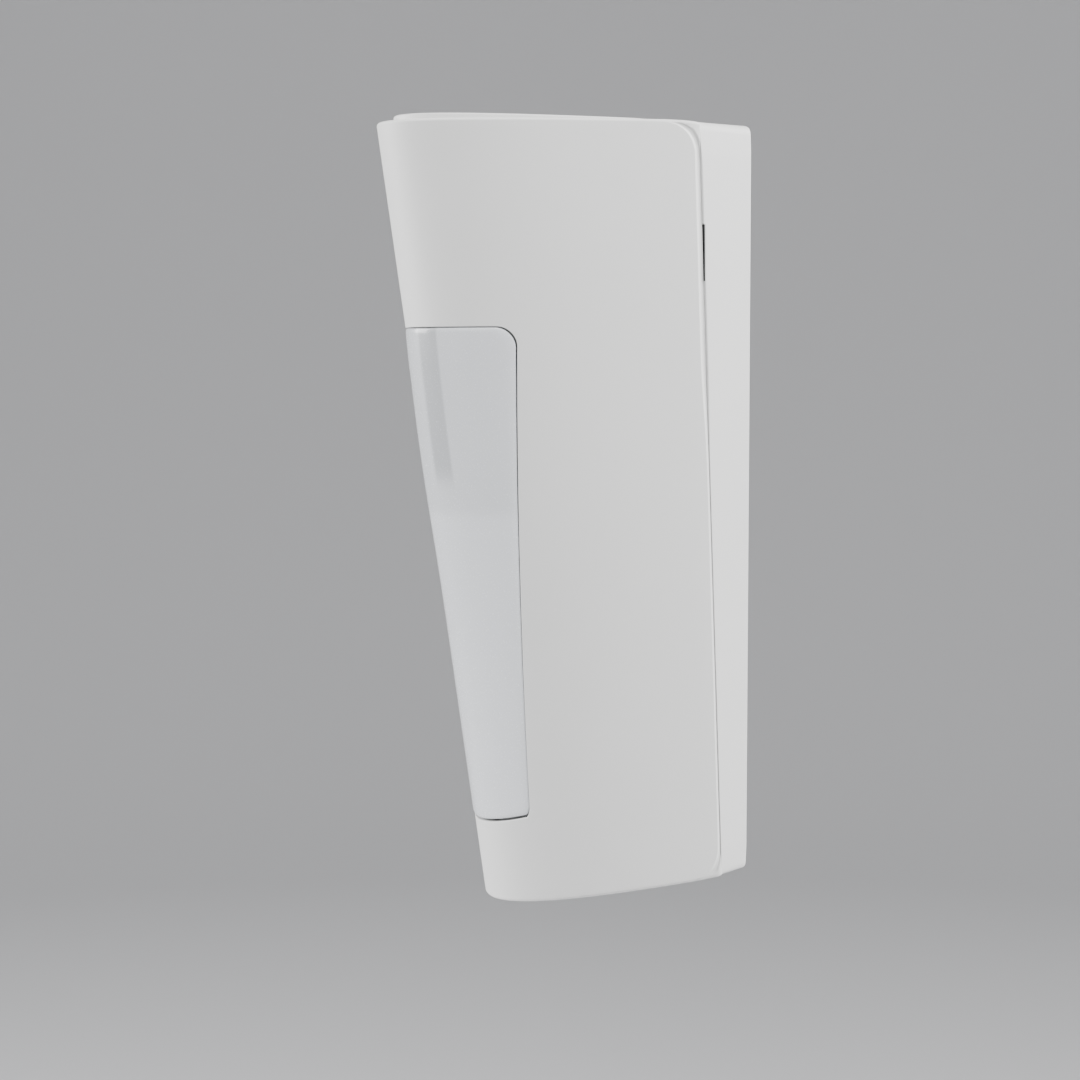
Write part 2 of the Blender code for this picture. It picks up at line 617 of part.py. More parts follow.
def make_lock_screw():
    """Captive screw that draws the cover's foot to the chassis, with its sealing ring."""
    axis = empty("lock_axis", (0, -0.020, -0.0935))
    profile = (
        (0.0024, 0),
        (0.0031, 0.0004),
        (0.0031, 0.0014),
        (SCREW_RADIUS, 0.0014),
        (SCREW_RADIUS, 0.0110),
        (0.0008, 0.0116),
    )
    screw = turned("lock_screw", profile, (0, 0, 0), (0, 0, 1), steel(), axis, 20)
    for way, (dx, dy) in enumerate(((0.0018, 0.0004), (0.0004, 0.0018))):
        recess = box(f"lock_recess_{way + 1}", (-dx, -dy, -0.001), (dx, dy, 0.0009), steel(), axis)
        combine(screw, recess, "DIFFERENCE")
    rings = []
    for radius, z in ((0.0017, 0.0016), (0.0029, 0.0016), (0.0029, 0.0022), (0.0017, 0.0022)):
        rings.append(circle(radius, z, 20))
    loft("lock_screw_ring", rings, rubber(), axis, closed=True)


def clear_scene():
    for old in list(bpy.data.objects):
        bpy.data.objects.remove(old)


def build():
    clear_scene()
    plastic = housing_plastic()
    hinge = empty("cover_hinge", (0, seam_y(TOP_Z), TOP_Z))
    pan_axis = empty("pan_axis", (0, PAN_Y, PAN_Z), PAN_TILT)
    make_base(plastic)
    make_grommet()
    make_seal()
    make_chassis(pan_axis, inner_plastic())
    for i, (x, z) in enumerate(CHASSIS_SCREWS):
        make_screw(f"chassis_screw_{i + 1}", x, CHASSIS_FACE_Y - GAP, z, 0.009)
    for i, (x, z) in enumerate(BOARD_SCREWS):
        make_screw(f"board_screw_{i + 1}", x, BOARD_BACK_Y - BOARD_THICK - GAP, z, 0.0045)
    make_electronics()
    make_tamper_plunger()
    make_head(pan_axis)
    make_sensor_carriage(pan_axis)
    make_cover(hinge, plastic)
    make_window(hinge)
    make_top_cap(hinge, plastic)
    make_lock_screw()


build()
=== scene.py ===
import json
import math

import bmesh
import bpy
from mathutils import Matrix, Vector


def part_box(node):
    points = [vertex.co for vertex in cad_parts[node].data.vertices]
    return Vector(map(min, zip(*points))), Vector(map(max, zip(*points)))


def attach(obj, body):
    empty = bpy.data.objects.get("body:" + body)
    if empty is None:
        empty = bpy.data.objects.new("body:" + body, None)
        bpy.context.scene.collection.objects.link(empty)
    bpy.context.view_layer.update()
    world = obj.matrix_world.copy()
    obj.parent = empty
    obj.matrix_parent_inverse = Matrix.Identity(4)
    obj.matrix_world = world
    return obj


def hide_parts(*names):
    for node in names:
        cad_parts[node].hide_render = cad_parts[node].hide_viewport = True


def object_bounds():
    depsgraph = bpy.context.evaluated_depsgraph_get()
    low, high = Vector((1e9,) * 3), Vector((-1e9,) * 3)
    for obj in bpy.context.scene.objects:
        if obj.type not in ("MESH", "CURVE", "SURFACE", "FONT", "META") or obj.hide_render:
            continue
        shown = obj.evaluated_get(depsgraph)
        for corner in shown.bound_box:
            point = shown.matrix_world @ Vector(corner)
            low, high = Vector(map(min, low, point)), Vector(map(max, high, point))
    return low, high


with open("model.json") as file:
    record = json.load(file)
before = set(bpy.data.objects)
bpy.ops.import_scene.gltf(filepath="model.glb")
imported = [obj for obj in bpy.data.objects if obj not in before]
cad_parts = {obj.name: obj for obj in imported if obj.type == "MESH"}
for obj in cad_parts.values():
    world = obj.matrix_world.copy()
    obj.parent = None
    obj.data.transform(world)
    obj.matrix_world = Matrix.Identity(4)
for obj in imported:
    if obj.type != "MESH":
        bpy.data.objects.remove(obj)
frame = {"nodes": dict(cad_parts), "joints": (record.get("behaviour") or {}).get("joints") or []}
cad_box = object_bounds()


# ---------------------------------------------------------------------------------------------
# Camera. A three-quarter view from the detector's left, level with its upper half, with a
# portrait-length lens, so that the prow's flank fills most of the picture.
LENS = 73.33
AIM = Vector((0, -0.0408, -0.0068))
CAMERA_DISTANCE = 0.5769
CAMERA_TURN, CAMERA_RISE = math.radians(64.49), math.radians(4.14)

away = Vector(
    (
        math.sin(CAMERA_TURN) * math.cos(CAMERA_RISE),
        -math.cos(CAMERA_TURN) * math.cos(CAMERA_RISE),
        math.sin(CAMERA_RISE),
    )
)
camera = bpy.data.objects.new("camera", bpy.data.cameras.new("camera"))
camera.data.lens = LENS
camera.data.clip_start = 0.01
camera.location = AIM + away * CAMERA_DISTANCE
camera.rotation_euler = away.to_track_quat("Z", "Y").to_euler()
bpy.context.scene.collection.objects.link(camera)
bpy.context.scene.camera = camera


# ---------------------------------------------------------------------------------------------
# Floor. A wide pale sheet well below the detector, which hangs at a height on its wall face.
# Far out it sweeps up into a low wall, so that no hard horizon shows.
FLOOR_DROP = 0.5
FLOOR_RADIUS, SWEEP_RADIUS, WALL_TOP = 2.2, 1.4, 2.4
FLOOR_COLOUR = (0.62, 0.62, 0.63, 1)


def plain_floor():
    profile = [(0.0, 0.0), (FLOOR_RADIUS, 0.0)]
    for i in range(1, 13):
        bow = math.pi / 2 * i / 12
        profile.append((FLOOR_RADIUS + SWEEP_RADIUS * math.sin(bow), SWEEP_RADIUS * (1 - math.cos(bow))))
    profile.append((FLOOR_RADIUS + SWEEP_RADIUS, WALL_TOP))
    bm = bmesh.new()
    points = [bm.verts.new((radius, 0, z)) for radius, z in profile]
    edges = [bm.edges.new(pair) for pair in zip(points, points[1:])]
    bmesh.ops.spin(bm, geom=points + edges, axis=(0, 0, 1), cent=(0, 0, 0), angle=2 * math.pi, steps=96)
    bmesh.ops.remove_doubles(bm, verts=bm.verts, dist=0.001)
    mesh = bpy.data.meshes.new("floor")
    bm.to_mesh(mesh)
    bm.free()
    mesh.shade_smooth()
    floor = bpy.data.objects.new("floor", mesh)
    floor.location.z = cad_box[0][2] - FLOOR_DROP
    paper = bpy.data.materials.new("floor_paper")
    paper.use_nodes = True
    shader = paper.node_tree.nodes["Principled BSDF"]
    shader.inputs["Base Color"].default_value = FLOOR_COLOUR
    shader.inputs["Roughness"].default_value = 0.9
    mesh.materials.append(paper)
    bpy.context.scene.collection.objects.link(floor)


plain_floor()


# ---------------------------------------------------------------------------------------------
# Light. A pale room all round, a broad soft panel on the nose side, one behind the viewer's
# right shoulder, and a smaller one overhead that picks out the base's top rounding.
ROOM_COLOUR, ROOM_STRENGTH = (0.80, 0.81, 0.83, 1), 0.34
SOFT_PANELS = {
    # name: (position, width, height, watts)
    "nose_panel": ((-0.55, -1.40, 0.45), 0.9, 1.0, 50),
    "side_panel": ((0.95, 0.95, 0.75), 0.7, 0.8, 60),
    "top_panel": ((0.55, -0.15, 0.95), 0.6, 0.6, 10),
}


def soft_light():
    world = bpy.data.worlds.new("room")
    world.use_nodes = True
    backdrop = world.node_tree.nodes["Background"]
    backdrop.inputs["Color"].default_value = ROOM_COLOUR
    backdrop.inputs["Strength"].default_value = ROOM_STRENGTH
    bpy.context.scene.world = world
    for name, (place, width, height, watts) in SOFT_PANELS.items():
        data = bpy.data.lights.new(name, "AREA")
        data.shape = "RECTANGLE"
        data.size, data.size_y = width, height
        data.energy = watts
        lamp = bpy.data.objects.new(name, data)
        lamp.location = place
        lamp.rotation_euler = (Vector(place) - AIM).to_track_quat("Z", "Y").to_euler()
        bpy.context.scene.collection.objects.link(lamp)


soft_light()


# ---------------------------------------------------------------------------------------------
# Housing plastic. White weatherproof resin, spark-eroded mould surface: very fine even grain,
# a satin sheen, slight clouding in the colour and a few grey dust specks.
HOUSING_WHITE = (0.70, 0.70, 0.69)


def add_node(tree, kind, **values):
    """One node; values are input names with spaces as underscores, or the node's own settings."""
    node = tree.nodes.new(kind)
    for name, value in values.items():
        socket = node.inputs.get(name.replace("_", " "))
        if socket is None:
            setattr(node, name, value)
        else:
            socket.default_value = value
    return node


def moulded_plastic(name, colour, roughness, grain, cloud, speck=0.0, coat=0.0):
    """Injection-moulded plastic: grain is the bump in metres, cloud and speck darken the colour."""
    made = bpy.data.materials.new(name)
    made.use_nodes = True
    tree = made.node_tree
    link = tree.links.new
    shader = tree.nodes["Principled BSDF"]
    shader.inputs["Coat Weight"].default_value = coat
    shader.inputs["Coat Roughness"].default_value = 0.12
    place = add_node(tree, "ShaderNodeTexCoord")
    clouds = add_node(tree, "ShaderNodeTexNoise", Scale=28.0, Detail=4.0, Roughness=0.6)
    link(place.outputs["Object"], clouds.inputs["Vector"])
    spread = add_node(tree, "ShaderNodeMapRange", To_Min=1 - cloud, To_Max=1 + cloud)
    spread.inputs["From Min"].default_value = 0.3
    spread.inputs["From Max"].default_value = 0.7
    link(clouds.outputs["Fac"], spread.inputs["Value"])
    flecks = add_node(tree, "ShaderNodeTexVoronoi", Scale=95.0, Randomness=1.0)
    link(place.outputs["Object"], flecks.inputs["Vector"])
    fleck_edge = add_node(tree, "ShaderNodeMapRange", To_Min=1 - speck, To_Max=1.0)
    fleck_edge.inputs["From Min"].default_value = 0.035
    fleck_edge.inputs["From Max"].default_value = 0.075
    link(flecks.outputs["Distance"], fleck_edge.inputs["Value"])
    rare = add_node(tree, "ShaderNodeMath", operation="LESS_THAN")
    rare.inputs[1].default_value = 0.05
    split = add_node(tree, "ShaderNodeSeparateColor")
    link(flecks.outputs["Color"], split.inputs["Color"])
    link(split.outputs["Red"], rare.inputs[0])
    pick = add_node(tree, "ShaderNodeMix", data_type="FLOAT")
    pick.inputs[2].default_value = 1.0
    link(rare.outputs["Value"], pick.inputs[0])
    link(fleck_edge.outputs["Result"], pick.inputs[3])
    shade = add_node(tree, "ShaderNodeMath", operation="MULTIPLY")
    link(spread.outputs["Result"], shade.inputs[0])
    link(pick.outputs[0], shade.inputs[1])
    tint = add_node(tree, "ShaderNodeMix", data_type="RGBA")
    tint.inputs[6].default_value = (0, 0, 0, 1)
    tint.inputs[7].default_value = (*colour, 1)
    tint.clamp_factor = False
    link(shade.outputs["Value"], tint.inputs[0])
    link(tint.outputs[2], shader.inputs["Base Color"])
    fine = add_node(tree, "ShaderNodeTexNoise", Scale=2600.0, Detail=2.0)
    link(place.outputs["Object"], fine.inputs["Vector"])
    rough = add_node(tree, "ShaderNodeMapRange", To_Min=roughness - 0.05, To_Max=roughness + 0.05)
    link(fine.outputs["Fac"], rough.inputs["Value"])
    link(rough.outputs["Result"], shader.inputs["Roughness"])
    bump = add_node(tree, "ShaderNodeBump", Strength=0.35, Distance=grain)
    link(fine.outputs["Fac"], bump.inputs["Height"])
    link(bump.outputs["Normal"], shader.inputs["Normal"])
    return made


housing_plastic = moulded_plastic("housing_plastic", HOUSING_WHITE, 0.48, 0.00003, 0.012, speck=0.25)


# ---------------------------------------------------------------------------------------------
# Front cover. One moulded shell, bent like a prow round a slanted nose line. A raised panel with
# round rear corners covers each flank, a shallow groove runs outside it, and the window sits in a
# tapered opening with a small radius all round. It swings on two hooks at the top.
COVER_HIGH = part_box("front_cover")[1]
HALF_WIDTH, TOP_Z = COVER_HIGH.x, COVER_HIGH.z
NOSE_Y, NOSE_SLOPE = -0.0702, -0.152  # nose line: y = NOSE_Y + NOSE_SLOPE * z
SEAM_Y, SEAM_SLOPE = -0.01096, -0.0395  # parting plane: y = SEAM_Y + SEAM_SLOPE * z
FOOT_Y, FOOT_Z, FOOT_SLOPE = -0.0549, -0.1003, 0.177  # underside: from the nose's foot, climbing
COVER_WALL = 0.0025
FLANK_BEND = 0.9925  # plan position of the soft bend from flank to side
BEND_SOFTNESS = 0.003
CORNER_START = 0.935  # plan position where the panel's rear corners begin
CORNER_HEIGHT = 0.0082
CORNER_DROOP, FOOT_DROOP = 0.0005, 0.0002  # top and underside fall away at the seam's corners
TOP_EDGE, REAR_EDGE, WINDOW_EDGE = 0.0008, 0.00015, 0.0002
GROOVE_WIDTH, GROOVE_DEPTH, FOOT_GROOVE_DEPTH = 0.0017, 0.00055, 0.00026
GROOVE_SETBACK_FOOT = 0.0009
GROOVE_ROWS = [0.00014 * i for i in range(1, 16)]
GROOVE_FALL, GROOVE_RISE = (0.0, 0.0008), (0.0013, 0.0021)  # where its two banks start and end
GROOVE_FOOT_Z, GROOVE_FADE = 0.012, 0.03  # it gets shallower and narrower downwards from here
GROOVE_TOP_LOSS = 0.6  # share of its depth that is gone at the top of the panel's corner
REAR_GAP = 0.00005

WINDOW_MID_HALF, WINDOW_TAPER = 0.0189, 0.0497  # half width = mid + taper * z
WINDOW_TOP_Z, WINDOW_FOOT_Z = 0.0481, -0.0788
WINDOW_FOOT_CURVE = 12.4  # the lower edge climbs by this times x squared
WINDOW_TOP_CORNER, WINDOW_FOOT_CORNER = (0.0023, 0.0056), (0.0012, 0.0026)
OPENING_GAP, OPENING_TOP_GAP, OPENING_FOOT_GAP = 0.00002, 0.00022, 0.00065

# How many steps each stretch of the rim takes: nose to corner, corner, rear edge, corner, foot
STRETCHES = (40, 16, 80, 16, 34)
SHEET_RINGS, SHEET_CROWDING = 30, 1.15
FILLET_STEPS = 4
ACROSS_STEPS, CROWN_POWER = 24, 5


def nose_y(z):
    return NOSE_Y + NOSE_SLOPE * z


def seam_y(z):
    return SEAM_Y + SEAM_SLOPE * z


def belly_z(y):
    return FOOT_Z + FOOT_SLOPE * (y - FOOT_Y)


def ease(value, low, high):
    share = min(1.0, max(0.0, (value - low) / (high - low)))
    return share * share * (3 - 2 * share)


def groove_share(z):
    """The groove along the parting line is full near the top and shallow below halfway."""
    return ease(z, GROOVE_FOOT_Z, GROOVE_FOOT_Z + GROOVE_FADE)


def groove_depth(distance, z):
    """Depth of the groove at a distance outside the panel's edge."""
    full = FOOT_GROOVE_DEPTH + (GROOVE_DEPTH - FOOT_GROOVE_DEPTH) * groove_share(z)
    full *= 1 - GROOVE_TOP_LOSS * ease(z, TOP_Z - CORNER_HEIGHT, TOP_Z)
    return full * ease(distance, *GROOVE_FALL) * (1 - ease(distance, *GROOVE_RISE))


def bent_width(t):
    """Plan half width as a share of the full one: a parabola that bends softly into the side."""
    u = abs(t) / FLANK_BEND
    eased = u - BEND_SOFTNESS * math.log1p(math.exp(min(60.0, (u - 1) / BEND_SOFTNESS)))
    return math.copysign(eased, t)


def flank(t, z):
    """A point of the cover's side: t runs from -1 (left seam) over 0 (nose) to 1 (right seam)."""
    front = nose_y(z)
    back = seam_y(z) - REAR_GAP
    return Vector((HALF_WIDTH * bent_width(t), front + (back - front) * t * t, z))


def flank_normal(t, z):
    """The outward horizontal normal there."""
    step = 0.0005
    run = flank(t + step, z) - flank(t - step, z)
    return Vector((run.y, -run.x, 0)).normalized()


def rear_t(z, inset):
    """Plan position at a distance in front of the parting plane."""
    return 1 - inset / (2 * (seam_y(z) - nose_y(z)))


def foot_level(t):
    return belly_z(flank(t, FOOT_Z).y)


def droop(t, full):
    """How far the top or underside falls away at t, up to full at the seam."""
    return full * max(0.0, (abs(t) - CORNER_START) / (1 - CORNER_START)) ** 2


def panel_setback(z):
    """How far the panel's edge stands in front of the parting plane."""
    return GROOVE_SETBACK_FOOT + (GROOVE_WIDTH - GROOVE_SETBACK_FOOT) * groove_share(z)


def panel_path():
    """Edge of the raised flank, as (t, z), from the nose's top over the rear to the nose's foot."""
    top, corner, rear, corner_low, foot = STRETCHES
    high = TOP_Z - CORNER_HEIGHT
    low = foot_level(1) + CORNER_HEIGHT
    path = [(CORNER_START * i / top, TOP_Z - TOP_EDGE) for i in range(top)]
    start, end = CORNER_START**2, rear_t(high, GROOVE_WIDTH) ** 2
    for i in range(corner):
        turn = math.pi / 2 * i / corner
        z = high + (CORNER_HEIGHT - TOP_EDGE) * math.cos(turn)
        path.append((math.sqrt(start + (end - start) * math.sin(turn)), z))
    for i in range(rear):
        z = high + (low - high) * i / rear
        path.append((rear_t(z, panel_setback(z)), z))
    end = rear_t(low, panel_setback(low)) ** 2
    for i in range(corner_low):
        turn = math.pi / 2 * (1 - i / corner_low)
        t = math.sqrt(start + (end - start) * math.sin(turn))
        drop = (CORNER_HEIGHT - TOP_EDGE) * math.cos(turn)
        path.append((t, foot_level(t) + CORNER_HEIGHT - drop))
    for i in range(foot + 1):
        t = CORNER_START * (1 - i / foot)
        path.append((t, foot_level(t) + TOP_EDGE))
    return path


def square_corner(count):
    """Steps round a square corner, as (share along, share down, turn): three sit on the corner."""
    before = (count - 3) // 2
    steps = [(i / (before + 1), 0.0, 0.0) for i in range(before + 1)]
    steps += [(1.0, 0.0, math.pi / 8 * i) for i in (1, 2, 3)]
    after = count - len(steps)
    steps += [(1.0, (i + 1) / (after + 1), math.pi / 2) for i in range(after)]
    return steps


def corner_edge(turn, down):
    """Radius of the rim's rounding at a square corner: it narrows from the level edge to the rear."""
    return REAR_EDGE + (TOP_EDGE - REAR_EDGE) * (math.cos(turn) if down == 0 else 0)


def rim_path():
    """The cover's own edge beside the panel's, as (t, z, turn, edge).

    Its rear corners are square. turn is 0 along the top, 90 degrees along the rear and 180 along
    the underside; edge is the radius of the rounding there."""
    top, corner, rear, corner_low, foot = STRETCHES
    panel = panel_path()
    path = [(t, z, 0.0, TOP_EDGE) for t, z in panel[:top]]
    level, high = TOP_Z - TOP_EDGE, TOP_Z - CORNER_HEIGHT
    for along, down, turn in square_corner(corner):
        t = CORNER_START + (rear_t(level, REAR_EDGE) - CORNER_START) * along
        z = level - droop(t, CORNER_DROOP) * (1 - down) + (high - level) * down
        path.append((t, z, turn, corner_edge(turn, down)))
    for t, z in panel[top + corner : top + corner + rear]:
        path.append((rear_t(z, REAR_EDGE), z, math.pi / 2, REAR_EDGE))
    low_start = foot_level(1) + CORNER_HEIGHT
    for along, down, turn in reversed(square_corner(corner_low)):
        t = CORNER_START + (rear_t(low_start, REAR_EDGE) - CORNER_START) * along
        level = foot_level(t) + TOP_EDGE + droop(t, FOOT_DROOP)
        z = level + (low_start - level) * down
        path.append((t, z, math.pi - turn, corner_edge(turn, down)))
    path += [(t, z, math.pi, TOP_EDGE) for t, z in panel[-foot - 1 :]]
    return path


def window_path(grow, foot_grow=None, top_grow=None):
    """The window's outline as (t, z), step for step beside the rim path."""
    top, corner, side, corner_low, foot = STRETCHES
    half = WINDOW_MID_HALF + grow
    foot_grow = grow if foot_grow is None else foot_grow
    top_grow = grow if top_grow is None else top_grow
    high, low = WINDOW_TOP_Z + top_grow, WINDOW_FOOT_Z - foot_grow
    (rx, rz), (fx, fz) = WINDOW_TOP_CORNER, WINDOW_FOOT_CORNER
    rx, fx = min(rx, 0.8 * half), min(fx, 0.8 * half)
    points = [((half - rx) * i / top, high) for i in range(top)]
    for i in range(corner):
        turn = math.pi / 2 * i / corner
        points.append((half - rx + rx * math.sin(turn), high - rz + rz * math.cos(turn)))
    for i in range(side):
        points.append((half, high - rz + (low + fz - high + rz) * i / side))
    for i in range(corner_low):
        turn = math.pi / 2 * i / corner_low
        points.append((half - fx + fx * math.cos(turn), low + fz - fz * math.sin(turn)))
    points += [((half - fx) * (1 - i / foot), low) for i in range(foot + 1)]
    shaped = []
    for x, z in points:
        tapered = x * (1 + WINDOW_TAPER * z / WINDOW_MID_HALF)
        lift = WINDOW_FOOT_CURVE * tapered**2 * (high - z) / (high - low)
        shaped.append((tapered * FLANK_BEND / HALF_WIDTH, z + lift))
    return shaped


def round_the_loop(half_path):
    """A right-hand path from nose to nose, closed with its mirror image; items start with t."""
    mirrored = [(-item[0], *item[1:]) for item in reversed(half_path[1:-1])]
    return half_path + mirrored


class Shell:
    """Grows a sheet with a known inner point under every outer one, then closes it."""

    def __init__(self):
        self.bm = bmesh.new()
        self.under = {}

    def point(self, outer, inner):
        vert = self.bm.verts.new(outer)
        self.under[vert] = inner
        return vert

    def bridge(self, first, second, closed=True):
        """Quads between two rows of equal length."""
        count = len(first)
        for i in range(count if closed else count - 1):
            j = (i + 1) % count
            corners = (first[i], first[j], second[j], second[i])
            self.bm.faces.new(corners)

    def close(self):
        """Adds the inner skin and the rims between the two."""
        twins = {vert: self.bm.verts.new(inner) for vert, inner in self.under.items()}
        skin = list(self.bm.faces)
        open_edges = [edge for edge in self.bm.edges if edge.is_boundary]
        for face in skin:
            self.bm.faces.new([twins[vert] for vert in reversed(face.verts)])
        for edge in open_edges:
            a, b = edge.verts
            self.bm.faces.new((a, b, twins[b], twins[a]))

    def finish(self, name, material, merge=0.00002, sharp=35):
        bmesh.ops.remove_doubles(self.bm, verts=self.bm.verts, dist=merge)
        bmesh.ops.dissolve_degenerate(self.bm, edges=self.bm.edges, dist=merge / 2)
        bmesh.ops.recalc_face_normals(self.bm, faces=self.bm.faces)
        return as_object(name, self.bm, material, sharp)


def as_object(name, bm, material, sharp=35):
    mesh = bpy.data.meshes.new(name)
    bm.to_mesh(mesh)
    bm.free()
    mesh.shade_smooth()
    mesh.set_sharp_from_angle(angle=math.radians(sharp))
    mesh.materials.append(material)
    piece = bpy.data.objects.new(name, mesh)
    bpy.context.scene.collection.objects.link(piece)
    return piece


def under_flank(t, z, wall):
    """The inner skin's point behind the flank, kept below the top wall and above the floor."""
    inner = flank(t, z) - flank_normal(t, z) * wall
    inner.z = min(inner.z, TOP_Z - wall)
    inner.z = max(inner.z, belly_z(inner.y) + wall)
    return inner


def cover_mesh():
    shell = Shell()
    panel, rim = round_the_loop(panel_path()), round_the_loop(rim_path())
    gaps = [gap + WINDOW_EDGE for gap in (OPENING_GAP, OPENING_FOOT_GAP, OPENING_TOP_GAP)]
    opening = round_the_loop(window_path(*gaps))
    rows = []
    for step in range(SHEET_RINGS + 1):
        share = (step / SHEET_RINGS) ** SHEET_CROWDING
        row = []
        for (t0, z0), (t1, z1) in zip(opening, panel):
            t, z = t0 + (t1 - t0) * share, z0 + (z1 - z0) * share
            row.append(shell.point(flank(t, z), under_flank(t, z, COVER_WALL)))
        rows.append(row)

    # The groove outside the panel's edge, and the level corner beyond it
    rooms = [(flank(*spot) - flank(*edge[:2])).length for spot, edge in zip(panel, rim)]
    for distance in [*GROOVE_ROWS, 1.0]:
        row = []
        for (t0, z0), (t1, z1, _, _), room in zip(panel, rim, rooms):
            reach = min(distance, room)
            share = reach / room if room > 1e-6 else 1.0
            square = t0 * t0 + (t1 * t1 - t0 * t0) * share
            t, z = math.copysign(math.sqrt(square), t0), z0 + (z1 - z0) * share
            place = flank(t, z) - flank_normal(t, z) * groove_depth(reach, z)
            row.append(shell.point(place, under_flank(t, z, COVER_WALL)))
        rows.append(row)
    for first, second in zip(rows, rows[1:]):
        shell.bridge(first, second)

    # The window opening's small rounding, turning in towards the hole
    last = rows[0]
    count = len(opening)
    for step in range(1, FILLET_STEPS + 1):
        bow = math.pi / 2 * step / FILLET_STEPS
        row = []
        for i, (t, z) in enumerate(opening):
            before, after = flank(*opening[i - 1]), flank(*opening[(i + 1) % count])
            normal = flank_normal(t, z)
            inward = (after - before).normalized().cross(normal)
            lean = inward * WINDOW_EDGE * math.sin(bow) - normal * WINDOW_EDGE * (1 - math.cos(bow))
            under = flank(t, z) + inward * WINDOW_EDGE - normal * COVER_WALL
            row.append(shell.point(flank(t, z) + lean, under))
        shell.bridge(last, row)
        last = row

    # The rounding round the rim
    last = rows[-1]
    for step in range(1, FILLET_STEPS + 1):
        bow = math.pi / 2 * step / FILLET_STEPS
        row = []
        for (t, z, turn, edge), room in zip(rim, rooms):
            normal = flank_normal(t, z)
            out = Vector((0, math.sin(turn), math.cos(turn)))
            sunk = groove_depth(room, z) + edge * (1 - math.cos(bow))
            place = flank(t, z) + out * edge * math.sin(bow) - normal * sunk
            row.append(shell.point(place, under_flank(t, z, COVER_WALL)))
        shell.bridge(last, row)
        last = row

    # Top and underside, laid across from one edge to the other
    top, corner, rear, corner_low = STRETCHES[:4]
    half_turn = (corner - 3) // 2 + 2
    low_turn = top + corner + rear + corner_low - 1 - ((corner_low - 3) // 2 + 2)
    ends = {"top": range(0, top + half_turn + 1), "foot": range(low_turn, len(rim_path()))}
    for face, spots in ends.items():
        up = 1 if face == "top" else -1
        strips = [across(shell, last[i], last[-i % count], up) for i in spots]
        for first, second in zip(strips, strips[1:]):
            shell.bridge(first, second, closed=False)
    shell.close()
    return shell.finish("cover_shell", housing_plastic)


def across(shell, right, left, up):
    """A row over the top or underside from edge to edge, with a slight crown."""
    edge_x, y, edge_z = right.co
    crown = TOP_Z if up > 0 else belly_z(y)
    inner_level = TOP_Z - COVER_WALL if up > 0 else belly_z(y) + COVER_WALL
    inner = shell.under[right]
    row = [right]
    for i in range(1, ACROSS_STEPS):
        across_share = 1 - 2 * i / ACROSS_STEPS
        z = crown + (edge_z - crown) * abs(across_share) ** CROWN_POWER
        under = Vector((inner.x * across_share, inner.y, inner_level))
        row.append(shell.point((edge_x * across_share, y, z), under))
    return [*row, left]


def join_rows(bm, rows):
    """Quads between neighbouring closed rows of equal length."""
    for first, second in zip(rows, rows[1:]):
        for i in range(len(first)):
            j = (i + 1) % len(first)
            bm.faces.new((first[i], first[j], second[j], second[i]))


def add_rings(bm, rings):
    """Adds a closed solid between rings of equal length."""
    rows = [[bm.verts.new(point) for point in ring] for ring in rings]
    join_rows(bm, rows)
    bm.faces.new(list(reversed(rows[0])))
    bm.faces.new(rows[-1])


def solid_tool(rings, name="tool"):
    """A closed object between rings of equal length, for cutting, joining or showing."""
    bm = bmesh.new()
    add_rings(bm, rings)
    bmesh.ops.recalc_face_normals(bm, faces=bm.faces)
    return as_object(name, bm, housing_plastic)


def turned_rings(profile, start, direction, sides=48):
    """Rings of a turned shape: profile is (radius, distance along direction)."""
    turn = Vector(direction).to_track_quat("Z", "Y").to_matrix().to_4x4()
    place = Matrix.Translation(start) @ turn
    spin = [2 * math.pi * i / sides for i in range(sides)]
    return [
        [place @ Vector((radius * math.cos(a), radius * math.sin(a), along)) for a in spin]
        for radius, along in profile
    ]


def block_rings(low, high, edge=0.0003):
    """Rings of a block with chamfered edges, laid up along Z."""
    (x0, y0, z0), (x1, y1, z1) = low, high
    rings = []
    for z, pull in ((z0, edge), (z0 + edge, 0), (z1 - edge, 0), (z1, edge)):
        a, b, c, d = x0 + pull, x1 - pull, y0 + pull, y1 - pull
        flat = [(a + edge, c), (b - edge, c), (b, c + edge), (b, d - edge)]
        flat += [(b - edge, d), (a + edge, d), (a, d - edge), (a, c + edge)]
        rings.append([Vector((x, y, z)) for x, y in flat])
    return rings


def shape_with(piece, rings, operation):
    """Cuts a tool from a piece, or joins it on."""
    tool = solid_tool(rings)
    change = piece.modifiers.new("shape", "BOOLEAN")
    change.operation, change.solver, change.object = operation, "EXACT", tool
    bake(piece)
    old = tool.data
    bpy.data.objects.remove(tool)
    bpy.data.meshes.remove(old)


def bake(piece):
    """Applies a piece's modifiers to its mesh."""
    graph = bpy.context.evaluated_depsgraph_get()
    made = bpy.data.meshes.new_from_object(piece.evaluated_get(graph))
    old = piece.data
    piece.modifiers.clear()
    piece.data = made
    bpy.data.meshes.remove(old)


def even_shading(piece, sharp=35):
    """Large faces keep their own direction, so that small roundings read as crisp highlights."""
    piece.data.shade_smooth()
    piece.data.set_sharp_from_angle(angle=math.radians(sharp))
    weigh = piece.modifiers.new("even", "WEIGHTED_NORMAL")
    weigh.keep_sharp = True
    bake(piece)


